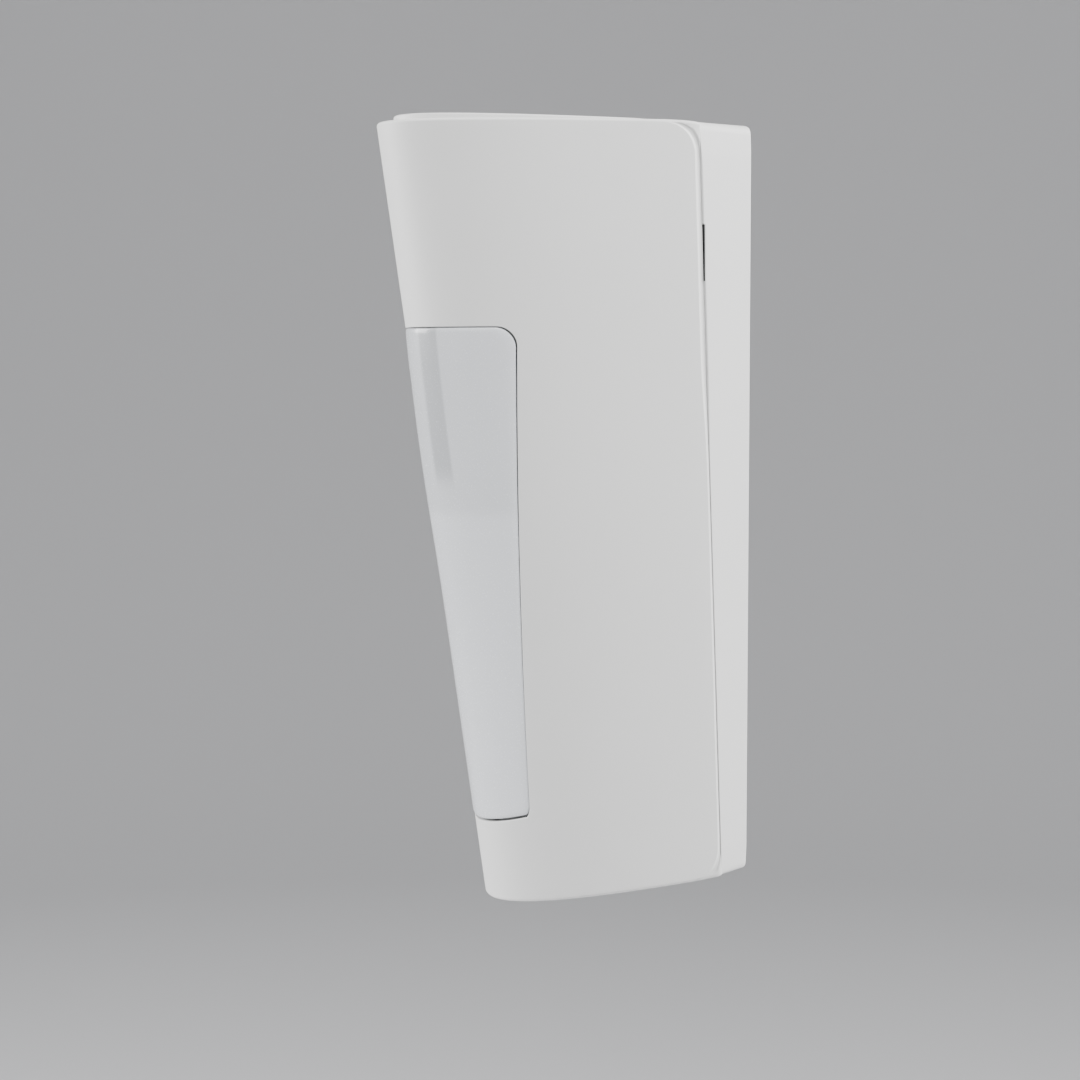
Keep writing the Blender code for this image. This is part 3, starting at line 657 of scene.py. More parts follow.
HOOK_X, HOOK_HALF = 0.018, 0.003
UPWARDS, OUTWARDS, WALLWARDS = (0, 0, 1), (0, -1, 0), (0, 1, 0)  # directions of turned shapes
LOCK_Y, LOCK_FOOT_Z, LOCK_BOSS_Z = -0.0200, -0.100, -0.0930
LOCK_BOSS = ((0.0042, 0), (0.0042, 0.0051), (0.0038, 0.0055))
LOCK_BORE = ((0.0019, 0), (0.0019, 0.02))
LOCK_POCKET = ((0.0036, 0), (0.0036, 0.009))

cover = cover_mesh()
for profile, foot_z, operation in (
    (LOCK_BOSS, LOCK_BOSS_Z, "UNION"),
    (LOCK_BORE, LOCK_FOOT_Z, "DIFFERENCE"),
    (LOCK_POCKET, LOCK_FOOT_Z, "DIFFERENCE"),
):
    shape_with(cover, turned_rings(profile, (0, LOCK_Y, foot_z), UPWARDS), operation)
for x in (-HOOK_X, HOOK_X):
    stem = block_rings((x - HOOK_HALF + 0.0001, -0.0188, 0.0930), (x + HOOK_HALF - 0.0001, -0.0160, 0.0980))
    lip = block_rings((x - HOOK_HALF, -0.0190, 0.0928), (x + HOOK_HALF, -0.0095, 0.0952))
    shape_with(cover, stem, "UNION")
    shape_with(cover, lip, "UNION")
even_shading(cover)
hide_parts("front_cover")
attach(cover, "cover")


# ---------------------------------------------------------------------------------------------
# Top pad. A low plate welded on the cover's top, a little behind the nose and in from the sides,
# higher in front than behind, with its upper edge rounded over.
PAD_INSET, PAD_FRONT, PAD_BACK = 0.0035, 0.0045, 0.0008
PAD_RISE_FRONT, PAD_RISE_BACK, PAD_RUN_OUT = 0.00175, 0.0004, 0.014
PAD_REACH, PAD_EDGE, PAD_STEPS = 0.94, 0.0005, 64
PAD_SEAT = 0.00003


def pad_outline(inset):
    """The pad's parabolic edge, drawn in by the inset; its straight back closes the outline."""
    start = nose_y(TOP_Z) + PAD_FRONT + inset
    end = seam_y(TOP_Z) - PAD_BACK - inset
    points = []
    for i in range(PAD_STEPS + 1):
        t = -PAD_REACH + 2 * PAD_REACH * i / PAD_STEPS
        y = start + (end - start) * (t / PAD_REACH) ** 2
        points.append(Vector(((HALF_WIDTH - PAD_INSET - inset) * t, y, 0)))
    return points


def pad_rise(y):
    """Height of the pad: it falls gently towards the rear and runs out flush there."""
    front, back = nose_y(TOP_Z) + PAD_FRONT, seam_y(TOP_Z) - PAD_BACK
    level = PAD_RISE_FRONT + (PAD_RISE_BACK - PAD_RISE_FRONT) * (y - front) / (back - front)
    return level * (1 - ease(y, back - PAD_RUN_OUT, back)) + 2 * PAD_SEAT


def top_pad():
    rows = [(0.0, 0.0)]
    rows += [(1 - math.cos(bow), math.sin(bow)) for bow in (math.pi / 2 * i / 5 for i in range(6))]
    bm = bmesh.new()
    rings = []
    for inset, lift in rows:
        ring = []
        for point in pad_outline(inset * PAD_EDGE):
            rise = pad_rise(point.y)
            edge = min(PAD_EDGE, rise - PAD_SEAT)
            height = PAD_SEAT if not rings else rise - edge * (1 - lift)
            ring.append(bm.verts.new((point.x, point.y, TOP_Z + height)))
        rings.append(ring)
    join_rows(bm, rings)
    for ring in (rings[0], rings[-1]):
        for i in range(len(ring) // 2):
            corners = [ring[i], ring[i + 1], ring[-i - 2], ring[-i - 1]]
            bm.faces.new(list(dict.fromkeys(corners)))
    bmesh.ops.recalc_face_normals(bm, faces=bm.faces)
    pad = as_object("top_pad", bm, housing_plastic)
    even_shading(pad)
    return pad


pad = top_pad()
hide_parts("top_cap")
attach(pad, "cover")


# ---------------------------------------------------------------------------------------------
# Wall base. A moulded tray with nearly square corners whose sides lean in a little at the top. It
# has a rounded rim, a pry slit on one side, screw posts, wall slots and a hole for the cable.
BASE_TOP_CORNER, BASE_FOOT_CORNER = 0.0075, 0.0065  # heights over which the corners lean in
CORNER_REACH, CORNER_POWER = 0.008, 12
SIDE_LEAN, FOOT_CROWN = 0.0005, 0.0002
SEAM_CROWN, WALL_CROWN = CORNER_DROOP, 0.0012  # fall of the top towards its side edges
BASE_WALL, BASE_FLOOR = 0.0022, 0.0025
BASE_RISE = 0.0014  # climb of the underside from the seam to the wall
BASE_BACK_EDGE = 0.00035
BASE_EDGE_TOP, BASE_EDGE_FOOT = 0.0005, 0.00010
SLIT_FOOT_Z, SLIT_TOP_Z, SLIT_OPEN = 0.0595, 0.0739, 0.00038
SEAM_FOOT_Y = seam_y(-0.092)
CORNER_STEPS, FLANK_STEPS = 18, 90
CHASSIS_SCREWS = [(x, z) for z in (-0.068, 0.040) for x in (-0.0265, 0.0265)]
BOARD_SCREWS = [(-0.0175, -0.053), (0.0175, 0.0645)]
CABLE_HOLE_Z, CABLE_HOLE_RADIUS = 0.0895, 0.0050
WALL_SLOTS, WALL_SLOT_RADIUS, WALL_SLOT_HALF = (0.066, -0.076), 0.0024, 0.004
CHASSIS_POST = ((0.0048, 0), (0.0039, 0.0009), (0.0035, 0.0022), (0.0034, 0.0113), (0.0031, 0.0115))
BOARD_POST = ((0.0042, 0), (0.0036, 0.0018), (0.0033, 0.0026), (0.0033, 0.0037), (0.0031, 0.0039))
POST_FOOT_Y, CHASSIS_PILOT_Y, BOARD_PILOT_Y = -0.0010, -0.0035, -0.0012
PILOT_HOLE = ((0.0013, 0), (0.0013, 0.02))
RIM_CHAMFER, FLOOR_ROOT = 0.00015, 0.0006
KNOCKOUT_RADIUS, KNOCKOUT_X, KNOCKOUT_Z = 0.0034, (-0.016, 0.016), (0.058, -0.068)
EJECTOR_X, EJECTOR_Z = (-0.029, 0.029), (-0.080, -0.030, 0.015, 0.082)


def base_edge(z):
    """The rim's rounding: it narrows again at the top corner, where cover and base are flush."""
    share = groove_share(z) * (1 - ease(z, TOP_Z - CORNER_HEIGHT - 0.003, TOP_Z - CORNER_HEIGHT + 0.003))
    return BASE_EDGE_FOOT + (BASE_EDGE_TOP - BASE_EDGE_FOOT) * share


def slit_depth(x, z):
    """The pry slit is a wedge in the right-hand rim, open at its upper end."""
    inside = x > 0 and SLIT_FOOT_Z <= z <= SLIT_TOP_Z
    return SLIT_OPEN * (z - SLIT_FOOT_Z) / (SLIT_TOP_Z - SLIT_FOOT_Z) if inside else 0.0


def flank_levels():
    """Heights of the flank's points, with extra ones at the slit's two ends."""
    first, last = belly_z(SEAM_FOOT_Y) + BASE_FOOT_CORNER, TOP_Z - BASE_TOP_CORNER
    levels = [first + (last - first) * i / FLANK_STEPS for i in range(1, FLANK_STEPS)]
    levels = [z for z in levels if not SLIT_FOOT_Z - 0.001 < z < SLIT_TOP_Z + 0.001]
    step = (SLIT_TOP_Z - SLIT_FOOT_Z) / 6
    levels += [SLIT_FOOT_Z + step * i for i in range(7)] + [SLIT_TOP_Z + 0.00004]
    return sorted(levels)


def soft_corner(half, level, height, inset, crown, up):
    """A nearly square corner: the side leans in a little, then turns tightly into the crown."""
    points = []
    for i in range(CORNER_STEPS + 1):
        turn = math.pi / 2 * i / CORNER_STEPS
        u, v = math.cos(turn) ** (2 / CORNER_POWER), math.sin(turn) ** (2 / CORNER_POWER)
        x = half - CORNER_REACH + inset + (CORNER_REACH - inset) * u - SIDE_LEAN * v * v
        z = height - inset - (height - inset) * v + crown * u * u * v
        points.append((x, level - up * z))
    return points


def base_row(inset, place, foot_y):
    """One row round the base; place(x, z) is its distance from the wall."""
    rise = BASE_RISE * (1 - foot_y / SEAM_FOOT_Y)
    seam_foot = belly_z(SEAM_FOOT_Y)
    foot, top, half = seam_foot + rise + inset, TOP_Z - inset, HALF_WIDTH - inset
    lowest = seam_foot + BASE_FOOT_CORNER
    levels = []
    for z in flank_levels():
        share = max(0.0, (SLIT_FOOT_Z - z) / (SLIT_FOOT_Z - lowest))
        levels.append(z + rise * share)
    right = soft_corner(half, foot, BASE_FOOT_CORNER, inset, FOOT_CROWN, -1)[::-1]
    right += [(half, z) for z in levels]
    crown = WALL_CROWN + (SEAM_CROWN - WALL_CROWN) * foot_y / SEAM_FOOT_Y
    right += soft_corner(half, top, BASE_TOP_CORNER, inset, crown, 1)
    outline = right + [(-x, z) for x, z in reversed(right)]
    return [Vector((x, place(x, z), z)) for x, z in outline]


def base_mesh():
    rows = []
    for i in range(5):
        bow = math.pi / 2 * i / 4
        inset, y = BASE_BACK_EDGE * (1 - math.sin(bow)), -BASE_BACK_EDGE * (1 - math.cos(bow))
        rows.append(base_row(inset, lambda x, z: y, y))

    def front(x, z):
        return seam_y(z) + slit_depth(x, z)

    for i in range(5):
        bow = math.pi / 2 * i / 4
        mean = base_edge(0.06)
        row = base_row(0, lambda x, z: front(x, z) + base_edge(z) * (1 - math.sin(bow)), SEAM_FOOT_Y)
        inward = base_row(mean, lambda x, z: 0, SEAM_FOOT_Y)
        for point, target in zip(row, inward):
            pull = base_edge(point.z) / mean * (1 - math.cos(bow))
            point.x += (target.x - point.x) * pull
            point.z += (target.z - point.z) * pull
        rows.append(row)
    rows.append(base_row(BASE_WALL - RIM_CHAMFER, front, SEAM_FOOT_Y))
    rows.append(base_row(BASE_WALL, lambda x, z: front(x, z) + RIM_CHAMFER, SEAM_FOOT_Y))
    for i in range(4):
        bow = math.pi / 2 * i / 3
        y = -BASE_FLOOR - FLOOR_ROOT * (1 - math.sin(bow))
        rows.append(base_row(BASE_WALL + FLOOR_ROOT * (1 - math.cos(bow)), lambda x, z: y, y))
    return solid_tool(rows, "base_tray")


def slot_rings(x, z, radius, half, y_range):
    """Rings of an upright slot with round ends."""
    turns = [math.pi * i / 12 for i in range(13)]
    upper = [(x + radius * math.cos(a), z + half - radius + radius * math.sin(a)) for a in turns]
    lower = [(x - radius * math.cos(a), z - half + radius - radius * math.sin(a)) for a in turns]
    return [[Vector((px, y, pz)) for px, pz in upper + lower] for y in y_range]


def furnish_base(base):
    """Bosses, ribs, slots and holes."""
    posts = [(spot, CHASSIS_POST, CHASSIS_PILOT_Y) for spot in CHASSIS_SCREWS]
    posts += [(spot, BOARD_POST, BOARD_PILOT_Y) for spot in BOARD_SCREWS]
    for (x, z), post, pilot_y in posts:
        shape_with(base, turned_rings(post, (x, POST_FOOT_Y, z), OUTWARDS), "UNION")
        shape_with(base, turned_rings(PILOT_HOLE, (x, pilot_y, z), OUTWARDS, 24), "DIFFERENCE")
    for z in (-0.084, -0.064, 0.052):
        rib = block_rings((-0.0355, -0.0036, z - 0.0005), (0.0355, -0.0020, z + 0.0005), 0.00015)
        shape_with(base, rib, "UNION")
    for z in WALL_SLOTS:
        rings = slot_rings(0, z, WALL_SLOT_RADIUS, WALL_SLOT_HALF, (-0.008, 0.004))
        shape_with(base, rings, "DIFFERENCE")
    hole = ((CABLE_HOLE_RADIUS, 0), (CABLE_HOLE_RADIUS, 0.0085))
    shape_with(base, turned_rings(hole, (0, 0.004, CABLE_HOLE_Z), (0, -1, 0), 64), "DIFFERENCE")
    for z in KNOCKOUT_Z:
        for x in KNOCKOUT_X:
            score_knockout(base, x, z, KNOCKOUT_RADIUS)
    mark_ejectors(base)


def score_knockout(base, x, z, radius):
    """A ring scored in the back round a spot that may be punched out for a wall screw."""
    width, depth = 0.0003, 0.0006
    inner, start = radius - width, (x, 0.001, z)
    tool = solid_tool(turned_rings(((radius, 0), (radius, depth + 0.001)), start, OUTWARDS, 40))
    core = turned_rings(((inner, -0.001), (inner, depth + 0.003)), start, OUTWARDS, 40)
    shape_with(tool, core, "DIFFERENCE")
    change = base.modifiers.new("score", "BOOLEAN")
    change.operation, change.solver, change.object = "DIFFERENCE", "EXACT", tool
    bake(base)
    bpy.data.objects.remove(tool)


def mark_ejectors(base):
    """Shallow round marks where the mould's pins pushed the tray out."""
    for x in EJECTOR_X:
        for z in EJECTOR_Z:
            mark = turned_rings(((0.0022, 0), (0.0022, 0.00015)), (x, 0.0000, z), (0, -1, 0), 32)
            mark[0] = [Vector((p.x, 0.001, p.z)) for p in mark[0]]
            shape_with(base, mark, "DIFFERENCE")


base = base_mesh()
furnish_base(base)
even_shading(base)
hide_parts("back_base")
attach(base, "base")


# ---------------------------------------------------------------------------------------------
# Window. A thin pane of milky polythene that lets heat through, bent over the nose and gently
# bulged below its top edge. Its edges are rounded over, and a frame inside clips it in.
PANE_THICK, PANE_GAP = 0.0018, 0.00002
PANE_EDGE_WIDTH, PANE_EDGE_DEPTH = 0.0012, 0.0004
PANE_LOWEST_PROUD, PANE_BULGE = 0.0001, 0.0008
BULGE_Z, BULGE_REACH = 0.015, 0.024
PANE_RINGS = 22
# Painted shade and light in the pane's colour: the height where the darker upper half meets the paler lower
# half, the brightness of the two halves, the painted shade of the dim band and the painted shade along the
# nose.
PAINTED_SHADE_SPLIT_Z = 0.001
UPPER_PAINTED_SHADE, LOWER_PAINTED_LIGHT, BAND_PAINTED_SHADE, NOSE_PAINTED_SHADE = 0.97, 1.08, 0.24, 0.16


def pane_point(t, z, sink=0.0):
    """A point of the pane: proud of the cover by the bulge, less towards its edges."""
    edge_t = (WINDOW_MID_HALF + WINDOW_TAPER * z) / HALF_WIDTH
    across_share = max(0.0, 1 - (t / edge_t) ** 2)
    swell = 0.25 + 0.75 * math.exp(-(((z - BULGE_Z) / BULGE_REACH) ** 2))
    fade = min(1.0, max(0.0, (WINDOW_TOP_Z - z) / 0.010))
    proud = PANE_LOWEST_PROUD + PANE_BULGE * swell * across_share * fade * (2 - fade)
    return flank(t, z) + flank_normal(t, z) * (proud - sink)


def pane_mesh():
    shell = Shell()
    outer = round_the_loop(window_path(-PANE_GAP))
    under = [pane_point(t, z, PANE_THICK) for t, z in outer]
    rows = [[shell.point(pane_point(t, z, PANE_THICK - 0.0002), low) for (t, z), low in zip(outer, under)]]
    for i in range(6):
        bow = math.pi / 2 * i / 5
        path = round_the_loop(window_path(-PANE_GAP - PANE_EDGE_WIDTH * (1 - math.cos(bow))))
        sink = PANE_EDGE_DEPTH * (1 - math.sin(bow))
        rows.append([shell.point(pane_point(t, z, sink), low) for (t, z), low in zip(path, under)])
    reach = WINDOW_MID_HALF - PANE_EDGE_WIDTH - 0.0018
    for i in range(1, PANE_RINGS + 1):
        path = round_the_loop(window_path(-PANE_GAP - PANE_EDGE_WIDTH - reach * (i / PANE_RINGS) ** 1.1))
        rows.append([shell.point(pane_point(t, z), pane_point(t, z, PANE_THICK)) for t, z in path])
    for first, second in zip(rows, rows[1:]):
        shell.bridge(first, second)
    last, count = rows[-1], len(outer)
    for i in range(count // 2):
        corners = [last[i], last[i + 1], last[-(i + 1) % count], last[-i % count]]
        if len(set(corners)) > 2:
            shell.bm.faces.new(list(dict.fromkeys(corners)))
    shell.close()
    return shell.finish("window_pane", milky_polythene_painted_shading())


def milky_polythene_painted_shading():
    """Glossy skin over cloudy plastic, with painted shade and painted light in its colour. The light and
    shade of the frame and lens behind it are painted on as soft zones: a painted band of shade behind the
    nose's upper half, painted shade along the nose, a slightly darker upper half and a paler lower half of
    painted light."""
    made = moulded_plastic("milky_polythene_painted_shading", (0.74, 0.76, 0.79), 0.26, 0.000012, 0.01, speck=0.01, coat=0.35)
    tree = made.node_tree
    link = tree.links.new
    shader = tree.nodes["Principled BSDF"]
    shader.inputs["Transmission Weight"].default_value = 0.12
    shader.inputs["IOR"].default_value = 1.5
    place = add_node(tree, "ShaderNodeTexCoord")
    split = add_node(tree, "ShaderNodeSeparateXYZ")
    link(place.outputs["Object"], split.inputs["Vector"])

    def zone(value, start, end, low, high):
        ramp = add_node(tree, "ShaderNodeMapRange", interpolation_type="SMOOTHSTEP")
        link(value, ramp.inputs["Value"])
        for name, setting in zip(("From Min", "From Max", "To Min", "To Max"), (start, end, low, high)):
            ramp.inputs[name].default_value = setting
        return ramp.outputs["Result"]

    def combine(kind, first, second):
        join = add_node(tree, "ShaderNodeMath", operation=kind)
        for socket, value in zip(join.inputs, (first, second)):
            if isinstance(value, float):
                socket.default_value = value
            else:
                link(value, socket)
        return join.outputs["Value"]

    x, z = split.outputs["X"], split.outputs["Z"]
    side = combine("ABSOLUTE", x, 0.0)
    # Painted light and shade: a paler lower half, a darker upper half, a painted band of shade and painted
    # shade along the nose.
    lower = zone(z, PAINTED_SHADE_SPLIT_Z - 0.002, PAINTED_SHADE_SPLIT_Z + 0.0025, LOWER_PAINTED_LIGHT, UPPER_PAINTED_SHADE)
    painted_band = combine("MULTIPLY", zone(side, 0.0034, 0.0048, 0.0, 1.0), zone(side, 0.0086, 0.0094, 1.0, 0.0))
    painted_band = combine("MULTIPLY", painted_band, zone(z, 0.006, 0.014, 0.0, BAND_PAINTED_SHADE))
    shade = combine("SUBTRACT", lower, painted_band)
    shade = combine("SUBTRACT", shade, zone(side, 0.004, 0.014, NOSE_PAINTED_SHADE, 0.0))
    tint = add_node(tree, "ShaderNodeMix", data_type="RGBA", blend_type="MULTIPLY")
    tint.inputs["Factor"].default_value = 1.0
    source = shader.inputs["Base Color"]
    link(source.links[0].from_socket, tint.inputs["A"])
    link(shade, tint.inputs["B"])
    link(tint.outputs["Result"], source)
    return made


pane = pane_mesh()
even_shading(pane)
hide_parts("window")
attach(pane, "cover")


# ---------------------------------------------------------------------------------------------
# Window frame. A thin inner plastic frame that follows the cover's inside and clips round the
# pane's edge. It is welded to the cover, so it swings with it.
INNER_WHITE = (0.60, 0.61, 0.60)


def finer(node, name, material, width, steps=2, sharp=30):
    """A node's own shape as a new piece: flat faces merged, then every sharp edge rounded."""
    bm = bmesh.new()
    bm.from_mesh(frame["nodes"][node].data)
    bmesh.ops.remove_doubles(bm, verts=bm.verts, dist=0.00001)
    bmesh.ops.dissolve_limit(bm, angle_limit=math.radians(1), verts=bm.verts, edges=bm.edges)
    piece = as_object(name, bm, material)
    soften(piece, width, steps, sharp)
    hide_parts(node)
    return piece


def soften(piece, width, steps=2, sharp=30):
    """Rounds a piece's sharp edges."""
    change = piece.modifiers.new("soften", "BEVEL")
    change.width, change.segments = width, steps
    change.limit_method, change.angle_limit = "ANGLE", math.radians(sharp)
    bake(piece)
    even_shading(piece)


def settle(piece, material, body):
    """Gives a finished piece its material and the body it moves with."""
    piece.data.materials.clear()
    piece.data.materials.append(material)
    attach(piece, body)


def install(piece, node, material, body):
    """Finishes a piece's shading and puts it in place of a node."""
    even_shading(piece)
    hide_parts(node)
    settle(piece, material, body)


inner_plastic = moulded_plastic("inner_plastic", INNER_WHITE, 0.42, 0.00002, 0.015)
window_frame = finer("window_retainer", "window_frame", inner_plastic, 0.00012, 1)
settle(window_frame, inner_plastic, "cover")


# ---------------------------------------------------------------------------------------------
# Rubber parts. A rain seal pressed just inside the base's rim, and a grommet in the cable hole
# whose groove grips the base's floor. Both are black rubber, a little dusty.
SEAL_OUTER, SEAL_INNER = BASE_WALL + 0.0003, BASE_WALL + 0.0017
SEAL_FRONT, SEAL_BACK, SEAL_ROUND = 0.0008, 0.0023, 0.0003
# Extent of the black strip in the pry slit: painted shade, a dark sheet laid where there is only shade.
SLIT_SHADE_INNER, SLIT_SHADE_OUTER, SLIT_SHADE_RISE, SLIT_SHADE_ROOT = 0.0360, HALF_WIDTH - 0.0001, -0.00004, 0.0002
CABLE_RADIUS = 0.0031


def dusty_rubber():
    made = moulded_plastic("dusty_rubber", (0.028, 0.028, 0.029), 0.72, 0.00005, 0.18, speck=0.1)
    made.node_tree.nodes["Principled BSDF"].inputs["Specular IOR Level"].default_value = 0.3
    return made


def looped(name, rings):
    """A closed ring-shaped piece: the last row joins the first."""
    bm = bmesh.new()
    rows = [[bm.verts.new(point) for point in ring] for ring in rings]
    join_rows(bm, [*rows, rows[0]])
    bmesh.ops.recalc_face_normals(bm, faces=bm.faces)
    return as_object(name, bm, housing_plastic)


def rain_seal():
    rings = []
    outer, inner = SEAL_OUTER + SEAL_ROUND, SEAL_INNER - SEAL_ROUND
    front, back = SEAL_FRONT + SEAL_ROUND, SEAL_BACK - SEAL_ROUND
    for inset, lift, quarter in ((outer, front, 3), (inner, front, 4), (inner, back, 1), (outer, back, 2)):
        for i in range(4):
            bow = math.pi / 2 * (quarter + i / 3)
            across = inset + SEAL_ROUND * math.cos(bow)
            along = lift + SEAL_ROUND * math.sin(bow)
            rings.append(base_row(across, lambda x, z: seam_y(z) + along, SEAM_FOOT_Y))
    return looped("rim_seal", rings)


def slit_painted_shade():
    """A thin strip of black rubber that lies in the pry slit and darkens it: painted shade, standing in for
    the shade deep in the slit.
    """
    bm = bmesh.new()
    rows = []
    for i in range(7):
        z = SLIT_FOOT_Z + 0.0002 + (SLIT_TOP_Z - SLIT_FOOT_Z - 0.0004) * i / 6
        floor = seam_y(z) + slit_depth(1, z)
        corners = [(x, SLIT_SHADE_RISE) for x in (SLIT_SHADE_INNER, SLIT_SHADE_OUTER)]
        corners += [(x, SLIT_SHADE_ROOT) for x in (SLIT_SHADE_OUTER, SLIT_SHADE_INNER)]
        rows.append([bm.verts.new((x, floor + lift, z)) for x, lift in corners])
    join_rows(bm, rows)
    for end in (rows[0], rows[-1]):
        bm.faces.new(end)
    bmesh.ops.recalc_face_normals(bm, faces=bm.faces)
    shade_strip = as_object("slit_painted_shade", bm, housing_plastic)
    settle(shade_strip, rubber, "base")


def cable_grommet():
    lip, groove = CABLE_HOLE_RADIUS + 0.0012, CABLE_HOLE_RADIUS - 0.0002
    profile = (
        (CABLE_RADIUS, 0.0042),
        (CABLE_RADIUS + 0.0003, 0.0045),
        (lip - 0.0006, 0.0043),
        (lip - 0.0001, 0.0039),
        (lip, 0.0034),
        (lip - 0.0001, BASE_FLOOR + 0.0002),
        (groove, BASE_FLOOR + 0.0002),
        (groove, 0.0004),
        (groove - 0.0003, 0.0002),
        (CABLE_RADIUS + 0.0005, 0.0002),
        (CABLE_RADIUS, 0.0006),
        (CABLE_RADIUS + 0.0002, 0.0018),
        (CABLE_RADIUS, 0.0030),
    )
    return looped("cable_grommet", turned_rings(profile, (0, 0, CABLE_HOLE_Z), OUTWARDS, 64))


rubber = dusty_rubber()
# Black strip in the pry slit: painted shade.
slit_painted_shade()
for piece, node in ((rain_seal(), "rain_seal"), (cable_grommet(), "wiring_grommet")):
    install(piece, node, rubber, "base")


# ---------------------------------------------------------------------------------------------
# Chassis. A moulded plate screwed on four posts in the base. Two arms hold the sensor head's
# pivots, a lug at the foot takes the lock screw, and low ribs stiffen the plate.
CHASSIS_FACE_Y = -0.0150
RIB_HEIGHT, RIB_HALF = 0.0012, 0.0005


def chassis_plate():
    plate = finer("chassis", "chassis_plate", inner_plastic, 0.0003)
    face = CHASSIS_FACE_Y
    for x in (-0.0205, 0.0205):
        low, high = (x - RIB_HALF, face - RIB_HEIGHT, -0.0800), (x + RIB_HALF, face + 0.0004, 0.0480)
        shape_with(plate, block_rings(low, high, 0.0002), "UNION")
    for z in (-0.055, -0.030, 0.000, 0.025):
        low, high = (-0.0290, face - 0.8 * RIB_HEIGHT, z - RIB_HALF), (0.0290, face + 0.0004, z + RIB_HALF)
        shape_with(plate, block_rings(low, high, 0.0002), "UNION")
    even_shading(plate)
    return plate


chassis = chassis_plate()
settle(chassis, inner_plastic, "base")


# ---------------------------------------------------------------------------------------------
# Screws. Plated steel pan heads with a cross recess: four hold the chassis, two the main board.
# Their coarse thread cuts its own way into the plastic posts.
HEAD_RADIUS, SHANK_RADIUS, THREAD_DEPTH, THREAD_PITCH = 0.0028, 0.00128, 0.00022, 0.0006


def plated_metal(name, colour, roughness, streak=0.06):
    """Plated metal: fine streaks in its roughness and a faint cloudiness in its colour."""
    made = bpy.data.materials.new(name)
    made.use_nodes = True
    tree = made.node_tree
    link = tree.links.new
    shader = tree.nodes["Principled BSDF"]
    shader.inputs["Metallic"].default_value = 1.0
    place = add_node(tree, "ShaderNodeTexCoord")
    scratch = add_node(tree, "ShaderNodeTexNoise", Scale=1400.0, Detail=3.0, Distortion=1.5)
    link(place.outputs["Object"], scratch.inputs["Vector"])
    rough = add_node(tree, "ShaderNodeMapRange", To_Min=roughness - streak, To_Max=roughness + streak)
    link(scratch.outputs["Fac"], rough.inputs["Value"])
    link(rough.outputs["Result"], shader.inputs["Roughness"])
    dull = add_node(tree, "ShaderNodeTexNoise", Scale=300.0, Detail=2.0)
    link(place.outputs["Object"], dull.inputs["Vector"])
    tint = add_node(tree, "ShaderNodeMix", data_type="RGBA")
    tint.inputs[6].default_value = (*(0.8 * part for part in colour), 1)
    tint.inputs[7].default_value = (*colour, 1)
    link(dull.outputs["Fac"], tint.inputs[0])
    link(tint.outputs[2], shader.inputs["Base Color"])
    bump = add_node(tree, "ShaderNodeBump", Strength=0.2, Distance=0.00001)
    link(scratch.outputs["Fac"], bump.inputs["Height"])
    link(bump.outputs["Normal"], shader.inputs["Normal"])
    return made


def threaded(length, radius):
    """Profile points of a thread from its tip back to the head, as (radius, distance)."""
    points = [(0.0002, length), (radius - THREAD_DEPTH, length - 0.0008)]
    turns = int((length - 0.0012) / THREAD_PITCH)
    for i in range(turns):
        start = length - 0.0009 - i * THREAD_PITCH
        points.append((radius - THREAD_DEPTH, start))
        points.append((radius, start - 0.4 * THREAD_PITCH))
        points.append((radius - THREAD_DEPTH, start - 0.8 * THREAD_PITCH))
    return points


def cut_cross(screw, place, reach, depth):
    """A tapered cross recess: place maps the head's face frame into the model."""
    for turn in (0, math.pi / 2):
        way = place @ Matrix.Rotation(turn, 4, "Z")
        half = reach * 0.2
        rings = []
        for z, share in ((0.0006, 1.1), (-depth, 0.55)):
            x, y = reach * share, half * share
            rings.append([way @ Vector((px, py, z)) for px, py in ((-x, -y), (x, -y), (x, y), (-x, y))])
        shape_with(screw, rings, "DIFFERENCE")


def pan_head_screw(name, x, y, z, length):
    dome = [(HEAD_RADIUS * math.cos(a), -0.0007 - 0.0009 * math.sin(a)) for a in (0, 0.3, 0.6, 0.9, 1.2)]
    under_head = [(SHANK_RADIUS, 0.0), (HEAD_RADIUS - 0.0001, 0.0), (HEAD_RADIUS, -0.0001)]
    profile = [*threaded(length, SHANK_RADIUS), *under_head, *dome]
    screw = solid_tool(turned_rings(profile, (x, y, z), WALLWARDS, 40), name)
    face = Matrix.Translation((x, y - 0.0015, z)) @ Matrix.Rotation(math.pi / 2, 4, "X")
    cut_cross(screw, face, HEAD_RADIUS * 0.55, 0.0008)
    even_shading(screw)
    return screw


zinc = plated_metal("zinc_plate", (0.62, 0.62, 0.63), 0.30)
for i, (x, z) in enumerate(CHASSIS_SCREWS):
    screw = pan_head_screw(f"plate_screw_{i + 1}", x, CHASSIS_FACE_Y - 0.0003, z, 0.0088)
    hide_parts(f"chassis_screw_{i + 1}")
    settle(screw, zinc, "base")
for i, (x, z) in enumerate(BOARD_SCREWS):
    screw = pan_head_screw(f"circuit_screw_{i + 1}", x, -0.0071, z, 0.0044)
    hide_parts(f"board_screw_{i + 1}")
    settle(screw, zinc, "base")


# ---------------------------------------------------------------------------------------------
# Main board. Glass-epoxy board under green solder mask, with tinned pads and copper tracks that
# show through as lighter green, and small surface-mounted parts round the chip.
BOARD_FRONT_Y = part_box("main_board")[0].y
SEAT_Y = BOARD_FRONT_Y - 0.0003
TRACK_WIDTH, FINE_TRACK, TRACK_RISE = 0.0007, 0.0004, 0.00005
TERMINAL_X = [(i - 2.5) * 0.005 for i in range(6)]
TERMINAL_Z = 0.0765
CHIP_X, CHIP_Z, CHIP_HALF = -0.008, 0.018, 0.005
LEGS, LEG_PITCH, LEG_HALF, LEG_THICK = 11, 0.0008, 0.00017, 0.00013
MASK_GREEN, TRACK_GREEN = (0.012, 0.105, 0.045), (0.03, 0.20, 0.08)


